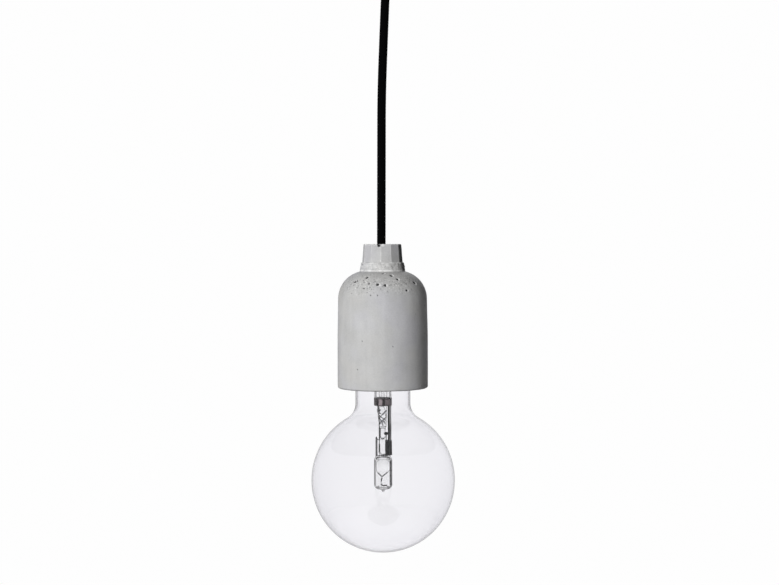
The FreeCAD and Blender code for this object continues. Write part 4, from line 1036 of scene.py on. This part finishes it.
def make_capsule():
    """The quartz burner: a round capsule with a hollow, a flat pinch above it and a drawn tip below."""

    def place(radius, turn, height):
        spot = lamp_point(radius, turn, height)
        flat = ease(height, PINCH_LOW - 1.6, PINCH_LOW + 0.4)
        x, y = math.cos(turn), math.sin(turn)
        square = (abs(x) ** 10 + abs(y) ** 10) ** (-1 / 10) * min(1.0, radius / PINCH_HALF_WIDTH)
        side = PINCH_HALF_WIDTH * x * square
        ear = 1.9 * ease(-side, 3.4, 4.2) * ease(height, PINCH_TOP - 0.9, PINCH_TOP - 0.1)
        return spot.lerp(spot_of(side, PINCH_HALF_DEPTH * y * square, height + ear), flat)

    low = CAPSULE_LOW + CAPSULE_CORNER
    edge = CAPSULE_RADIUS - CAPSULE_CORNER
    outline = [(0, PINCH_TOP)] + run((0.6, PINCH_TOP), (PINCH_HALF_WIDTH - 0.4, PINCH_TOP, 0.8))
    outline += bow((PINCH_HALF_WIDTH - 0.4, PINCH_TOP - 0.4), 0.4, 90, 0, 0.15)
    outline += run(
        (PINCH_HALF_WIDTH, PINCH_TOP - 0.4), (PINCH_HALF_WIDTH, PINCH_LOW + 0.4, 0.5),
        (CAPSULE_RADIUS - 0.25, CAPSULE_TOP + 0.5, 0.3), (CAPSULE_RADIUS, CAPSULE_TOP - 0.6, 0.3),
        (CAPSULE_RADIUS, low, 0.6),
    )
    outline += bow((edge, low), CAPSULE_CORNER, 0, -78, 0.3)
    outline += [(2.6, CAPSULE_LOW - 0.15), (1.7, CAPSULE_LOW - 0.3), (1.25, CAPSULE_LOW - 0.75)]
    outline += [(0.85, CAPSULE_LOW - 1.3), (0.7, CAPSULE_TIP + 0.35)]
    outline += [(0.4, CAPSULE_TIP + 0.08), (0, CAPSULE_TIP)]
    inner = CAPSULE_RADIUS - CAPSULE_WALL
    floor = CAPSULE_LOW + CAPSULE_WALL
    bend = CAPSULE_CORNER - CAPSULE_WALL
    dome = inner - ROOM_CORNER
    hollow = [(0, ROOM_TOP)] + run((0.5, ROOM_TOP), (dome, ROOM_TOP, 0.6))
    hollow += bow((dome, ROOM_TOP - ROOM_CORNER), ROOM_CORNER, 90, 0, 0.25)
    hollow += run((inner, ROOM_TOP - ROOM_CORNER), (inner, floor + bend, 0.6))
    hollow += bow((inner - bend, floor + bend), bend, 0, -90, 0.3)
    hollow += run((inner - bend, floor), (0.4, floor, 0.6)) + [(0, floor)]
    shape = join(lathe(outline, CAPSULE_COLUMNS, False, place), lathe(hollow, CAPSULE_COLUMNS))
    capsule = piece("quartz_capsule", shape, "bulb", "quartz", QUARTZ, "capsule_glass")
    turn_inside_out(capsule, CAPSULE_COLUMNS * (len(hollow) - 2) + 2)

    def painted_dark(x, y, z):
        # Painted reflection: a faint grey haze under the top of the hollow.
        haze = 0.07 * near(z, ROOM_TOP - 3.0, 4.0)
        # Dark marks round the pinch's foot.
        foot = 2.5 * near(z, PINCH_LOW + 0.6, 1.0) * near(x, 0.5 + 0.8 * (z - PINCH_LOW), 2.4)
        slant = 0.9 * near(x, -0.4 - 0.75 * (z - PINCH_LOW), 0.8) * ease(z, PINCH_LOW - 0.4, PINCH_LOW)
        slant *= ease(-z, -PINCH_LOW - 3.6, -PINCH_LOW - 2.4)
        left = ease(-x, 3.5, 4.0) * ease(z, PINCH_LOW - 0.5, PINCH_LOW + 0.5)
        # Painted shade along both sides of the capsule, wider on the right, and at its lower corners.
        wall = (ease(x, 4.4, 4.9) + 0.85 * ease(-x, 5.2, 5.6)) * ease(-z, 141.5, 143)
        wall *= ease(z, -161.5, -159.5)
        wall += 0.8 * ease(-z, 160.6, 161.6) * ease(abs(x), 2.0, 3.2)
        return min(1.0, haze + foot + slant + left + wall)

    mark(capsule, "painted_dark", painted_dark)


def make_support_bar():
    """The flat strip with a rolled left edge, and the ribbed clip that it ends in round the pinch."""

    def plate(left, right, front, back, top, bottom, ribs=0.0):
        rings, rows = [], round((top - bottom) / 0.4)
        for i in range(rows + 1):
            height = top + (bottom - top) * i / rows
            sway = 0.05 * math.sin(height * 0.35)
            ring = []
            for k in range(STRIP_COLUMNS):
                turn = 2 * math.pi * (k + 0.5) / STRIP_COLUMNS
                x, y = math.cos(turn), math.sin(turn)
                square = (abs(x) ** 8 + abs(y) ** 8) ** (-1 / 8)
                across = (left + right) / 2 + sway + x * square * (right - left) / 2
                deep = (front + back) / 2 + y * square * (back - front) / 2
                ring.append(spot_of(across, deep + ribs * math.sin(across * 7.5), height))
            rings.append(ring)
        return skin(rings)

    back = STRIP_FRONT + STRIP_THICKNESS
    corner = 0.25
    strip = plate(STRIP_LEFT, STRIP_RIGHT, STRIP_FRONT, back, STEM_LOW - 0.05, CLIP_TOP - 0.2)
    front = plate(CLIP_LEFT, CLIP_RIGHT - corner, STRIP_FRONT, back, CLIP_TOP, CLIP_LOW, 0.12)
    behind = plate(CLIP_LEFT, CLIP_RIGHT - corner, -back, -STRIP_FRONT, CLIP_TOP, CLIP_LOW, 0.12)
    reach = -STRIP_FRONT - 0.1
    side = plate(CLIP_RIGHT - STRIP_THICKNESS, CLIP_RIGHT, -reach, reach, CLIP_TOP, CLIP_LOW)
    shape = join(strip, front, behind, side)
    bar = piece("support_strip", shape, "bulb", "lead_metal", STRIP_METAL, "support_bar")

    def painted_dark(x, y, z):
        # Dark along the strip's rolled left edge, and half dark over the rest of its lower part. Dark on the
        # clip, but for three paler stripes.
        wobble = 0.2 * noise.noise(Vector((x, y, z)) * 0.5)
        if z > CLIP_TOP:
            low = ease(-z, 118, 122)
            dark = 1 - ease(x + wobble, STRIP_LEFT + 0.7, STRIP_LEFT + 1.3) * (1 - 0.55 * low)
        else:
            dark = 1 - 0.2 * near(x + wobble, 1.7, 0.5) - 0.1 * near(x + wobble, 3.0, 0.35)
            dark -= 0.3 * near(x, 4.5, 0.45)
        return min(1.0, 0.99 * dark)

    mark(bar, "metal_darkening", painted_dark)


def make_weld():
    """The dark weld between the strip and the right lead: a pinched tab with a blob on it."""
    centre = Vector(WELD)
    slopes = [math.pi * (i / 12 - 0.5) for i in range(1, 12)]
    line = [(0.0, -WELD_RADIUS)]
    line += [(math.cos(slope) * WELD_RADIUS, math.sin(slope) * WELD_RADIUS) for slope in slopes]
    line.append((0.0, WELD_RADIUS))

    def place(radius, turn, height):
        way = Vector((1.15 * radius * math.cos(turn), radius * math.sin(turn), 0.75 * height))
        spot = centre + way * (1 + 0.2 * noise.noise(way * 1.3))
        return spot_of(*spot)

    x, y, z = WELD
    tab = tube_mesh(wire_line([(x - 0.4, y + 0.3, z), (STRIP_RIGHT - 0.5, y + 0.3, z + 0.1)]), 0.32 * MM, 12)
    shape = join(lathe(line, WELD_COLUMNS, False, place), tab)
    piece("weld_blob", shape, "bulb", "lead_metal", WELD_METAL, "weld_tab")


def wire_piece(name, stops, radius, rounds, node):
    """A bare wire with its corners eased."""
    shape = tube_mesh(softened(wire_line(stops), rounds), radius * MM, WIRE_COLUMNS)
    piece(name, shape, "bulb", "lead_metal", WIRE_METAL, node)


def make_wires():
    straight = [(LEFT_LEAD_X, 0, STEM_LOW + 4), (LEFT_LEAD_X, 0, PINCH_TOP)]
    wire_piece("left_lead", straight, 0.42, 1, "lead_wire")
    x, y, z = WELD
    short = [(x, y + 0.2, z - 0.5), (x - 0.1, -1.6, z - 2.1), (RIGHT_LEAD_X, 0, PINCH_TOP)]
    wire_piece("short_lead", short, 0.3, 3, "right_lead")
    foot = [
        (FILAMENT[1][0], 0, FILAMENT[1][1] - 0.6), (-1.4, 0, -157.4), (-1.2, 0, -159.7), (0.3, 0, -160.1),
        (2.6, 0, -159.9),
    ]
    hook = softened(wire_line(foot), 3)

    def thickness(i, turn):
        height = (hook[i].z - TOP_Z) / MM
        return (0.16 + 0.3 * ease(height, -157.6, -156.6) + 0.34 * ease(-height, 158.6, 159.4)) * MM

    shape = tube_mesh(hook, thickness, WIRE_COLUMNS)
    piece("filament_hook", shape, "bulb", "lead_metal", WIRE_METAL, "filament_support")
    parts = []
    for side, x, end in ((-1, LEFT_LEAD_X, FILAMENT[0]), (1, RIGHT_LEAD_X, FILAMENT[2])):
        inner = [
            (x, 0, PINCH_LOW + 2.4), (x, 0, ROOM_TOP - 0.4), (side * INNER_LEAD_X, 0, ROOM_TOP - 3.0),
            (side * INNER_LEAD_X, 0, end[1] + 1.5), (end[0], 0, end[1]),
        ]
        parts.append(tube_mesh(softened(wire_line(inner), 2), 0.16 * MM, 10))
        parts.append(tube_mesh(wire_line([(x, 0, PINCH_TOP - 0.05), (x, 0, PINCH_TOP - 2.4)]), 0.25 * MM, 10))
    piece("inner_leads", join(*parts), "bulb", "lead_metal", WIRE_METAL, "capsule_leads")


def make_foils():
    """Two thin foils, pointed at both ends, sealed in the pinch. The left one is turned on edge."""
    parts = []
    top, low = PINCH_TOP - 2.2, PINCH_LOW + 2.2
    for x, wide, deep in ((LEFT_LEAD_X, 0.5, 0.5), (FOIL_X, 0.9, 0.1)):
        rings = []
        for height, share in ((top, 0.3), (top - 0.8, 1), (low + 0.8, 1), (low, 0.3)):
            corners = ((-wide, 0), (0, -deep), (wide, 0), (0, deep))
            rings.append([spot_of(x + dx * share, dy * share, height) for dx, dy in corners])
        parts.append(skin(rings))
    piece("sealed_foils", join(*parts), "bulb", "lead_metal", FOIL_METAL, "capsule_foils")


def make_filament():
    """The coiled wire: two legs of a V, wound as one helix."""
    legs = [Vector((x, 0, z)) for x, z in FILAMENT]
    line = []
    phase = 0.0
    for start, end in zip(legs, legs[1:]):
        along = end - start
        side = Vector((0, 1, 0))
        other = along.normalized().cross(side)
        steps = round(along.length / COIL_PITCH * COIL_STEPS)
        for k in range(steps):
            swing = (side * math.cos(phase) + other * math.sin(phase)) * COIL_RADIUS
            line.append(spot_of(*(start + along * k / steps + swing)))
            phase += 2 * math.pi / COIL_STEPS
    piece("filament_coil", tube_mesh(line, COIL_WIRE * MM, 7), "bulb", "tungsten", TUNGSTEN, "filament")


# ---- light, background and floor ----------------------------------------------------------

LIGHT_DISTANCE = 1.6
LIGHT_HEIGHT = 0.9
LIGHT_AIM = 0.05            # how far below the collar's top the lights point
KEY_WIDTH = 0.25
BACK_WIDTH = 0.5
REAR_WIDTH = 0.4
KEY_POWER = 26.0
KEY_TURN = 28               # degrees from the front round to the left
KEY_RISE = 15
BACK_POWER = 28.0
BACK_TURN = -170            # the lamp's back, a little round to the right
BACK_RISE = 22
REAR_POWER = 4.0
REAR_TURN = 130
FILL_BELOW = 0.14           # the room's light from straight below
FILL_ABOVE = 0.08           # and from above
GLOSS_LEVEL = 0.02          # what the room gives to reflections on the camera's side
GLOW_LEVEL = 0.55           # and at the back, where it is white
GLOW_WAY = (0, 0.93, 0.37)  # towards the back and up
BACKDROP_LEVEL = 0.99       # what the camera sees, straight or through glass
FLOOR_RADIUS = 1.6
FLOOR_Z = -1.35
FLOOR_SIDES = 96


def make_world():
    """White behind the lamp and through its glass, a dim room, and a soft glow in what it reflects."""
    world = bpy.data.worlds.new("studio")
    bpy.context.scene.world = world
    world.use_nodes = True
    tree = world.node_tree
    tree.nodes.clear()
    paths = add_node(tree, "LightPath")

    def level(strength):
        return add_node(tree, "Background", Color=(1, 1, 1), Strength=strength)

    def choose(ray, otherwise, when):
        node = tree.nodes.new("ShaderNodeMixShader")
        for socket, value in zip(node.inputs, (paths.outputs[ray], otherwise.outputs[0], when.outputs[0])):
            feed(tree, socket, value)
        return node

    way = add_node(tree, "TexCoord").outputs["Generated"]

    def towards(place, start, low, high):
        """A level that rises from low to high as the direction turns towards a place."""
        turned = tree.nodes.new("ShaderNodeVectorMath")
        turned.operation = "DOT_PRODUCT"
        feed(tree, turned.inputs[0], way)
        feed(tree, turned.inputs[1], place)
        limits = {"From Min": start, "From Max": 1.0, "To Min": low, "To Max": high}
        spread = add_node(tree, "MapRange", Value=turned.outputs["Value"], **limits)
        spread.interpolation_type = "SMOOTHERSTEP"
        return level(spread.outputs["Result"])

    shine = towards(GLOW_WAY, -0.1, GLOSS_LEVEL, GLOW_LEVEL)
    fill = towards((0, 0, -1), -1.0, FILL_ABOVE, FILL_BELOW)
    mixed = choose("Is Glossy Ray", fill, shine)
    backdrop = level(BACKDROP_LEVEL)
    mixed = choose("Is Transmission Ray", mixed, backdrop)
    mixed = choose("Is Camera Ray", mixed, backdrop)
    add_node(tree, "OutputWorld", Surface=mixed.outputs[0])


def make_floor():
    """A pale round floor well below the lamp."""
    material = new_material("pale_floor", (0.93, 0.93, 0.93), 0.8)[0]
    points = []
    for k in range(FLOOR_SIDES):
        turn = k * math.pi / (FLOOR_SIDES / 2)
        across, deep = FLOOR_RADIUS * math.cos(turn), FLOOR_RADIUS * math.sin(turn)
        points.append(Vector((LAMP_X + across, deep, FLOOR_Z)))
    mesh = bpy.data.meshes.new("floor")
    mesh.from_pydata(points, [], [tuple(range(FLOOR_SIDES))])
    mesh.materials.append(material)
    floor = bpy.data.objects.new("floor", mesh)
    bpy.context.scene.collection.objects.link(floor)


def area_light(name, left, rise, wide, power):
    """A soft upright light on the lamp, from an angle round to the left of the front and up, in degrees."""
    data = bpy.data.lights.new(name, "AREA")
    data.shape, data.size, data.size_y = "RECTANGLE", wide, LIGHT_HEIGHT
    data.energy = power
    light = bpy.data.objects.new(name, data)
    middle = Vector((LAMP_X, 0, TOP_Z - LIGHT_AIM))
    turn, lift = math.radians(left), math.radians(rise)
    flat = math.cos(lift)
    away = Vector((-math.sin(turn) * flat, -math.cos(turn) * flat, math.sin(lift))) * LIGHT_DISTANCE
    light.location = middle + away
    light.rotation_euler = (middle - light.location).to_track_quat("-Z", "Y").to_euler()
    light.visible_glossy = light.visible_transmission = False
    bpy.context.scene.collection.objects.link(light)


def make_lights():
    area_light("key", KEY_TURN, KEY_RISE, KEY_WIDTH, KEY_POWER)
    area_light("back", BACK_TURN, BACK_RISE, BACK_WIDTH, BACK_POWER)
    area_light("rear", REAR_TURN, 0, REAR_WIDTH, REAR_POWER)


make_camera()
make_cord()
finish_cad_nodes()
make_cover()
make_globe()
make_stem()
make_band()
make_press()
make_bead()
make_capsule()
make_support_bar()
make_weld()
make_wires()
make_foils()
make_filament()
make_world()
make_floor()
make_lights()

bpy.context.scene.view_settings.view_transform = "Standard"
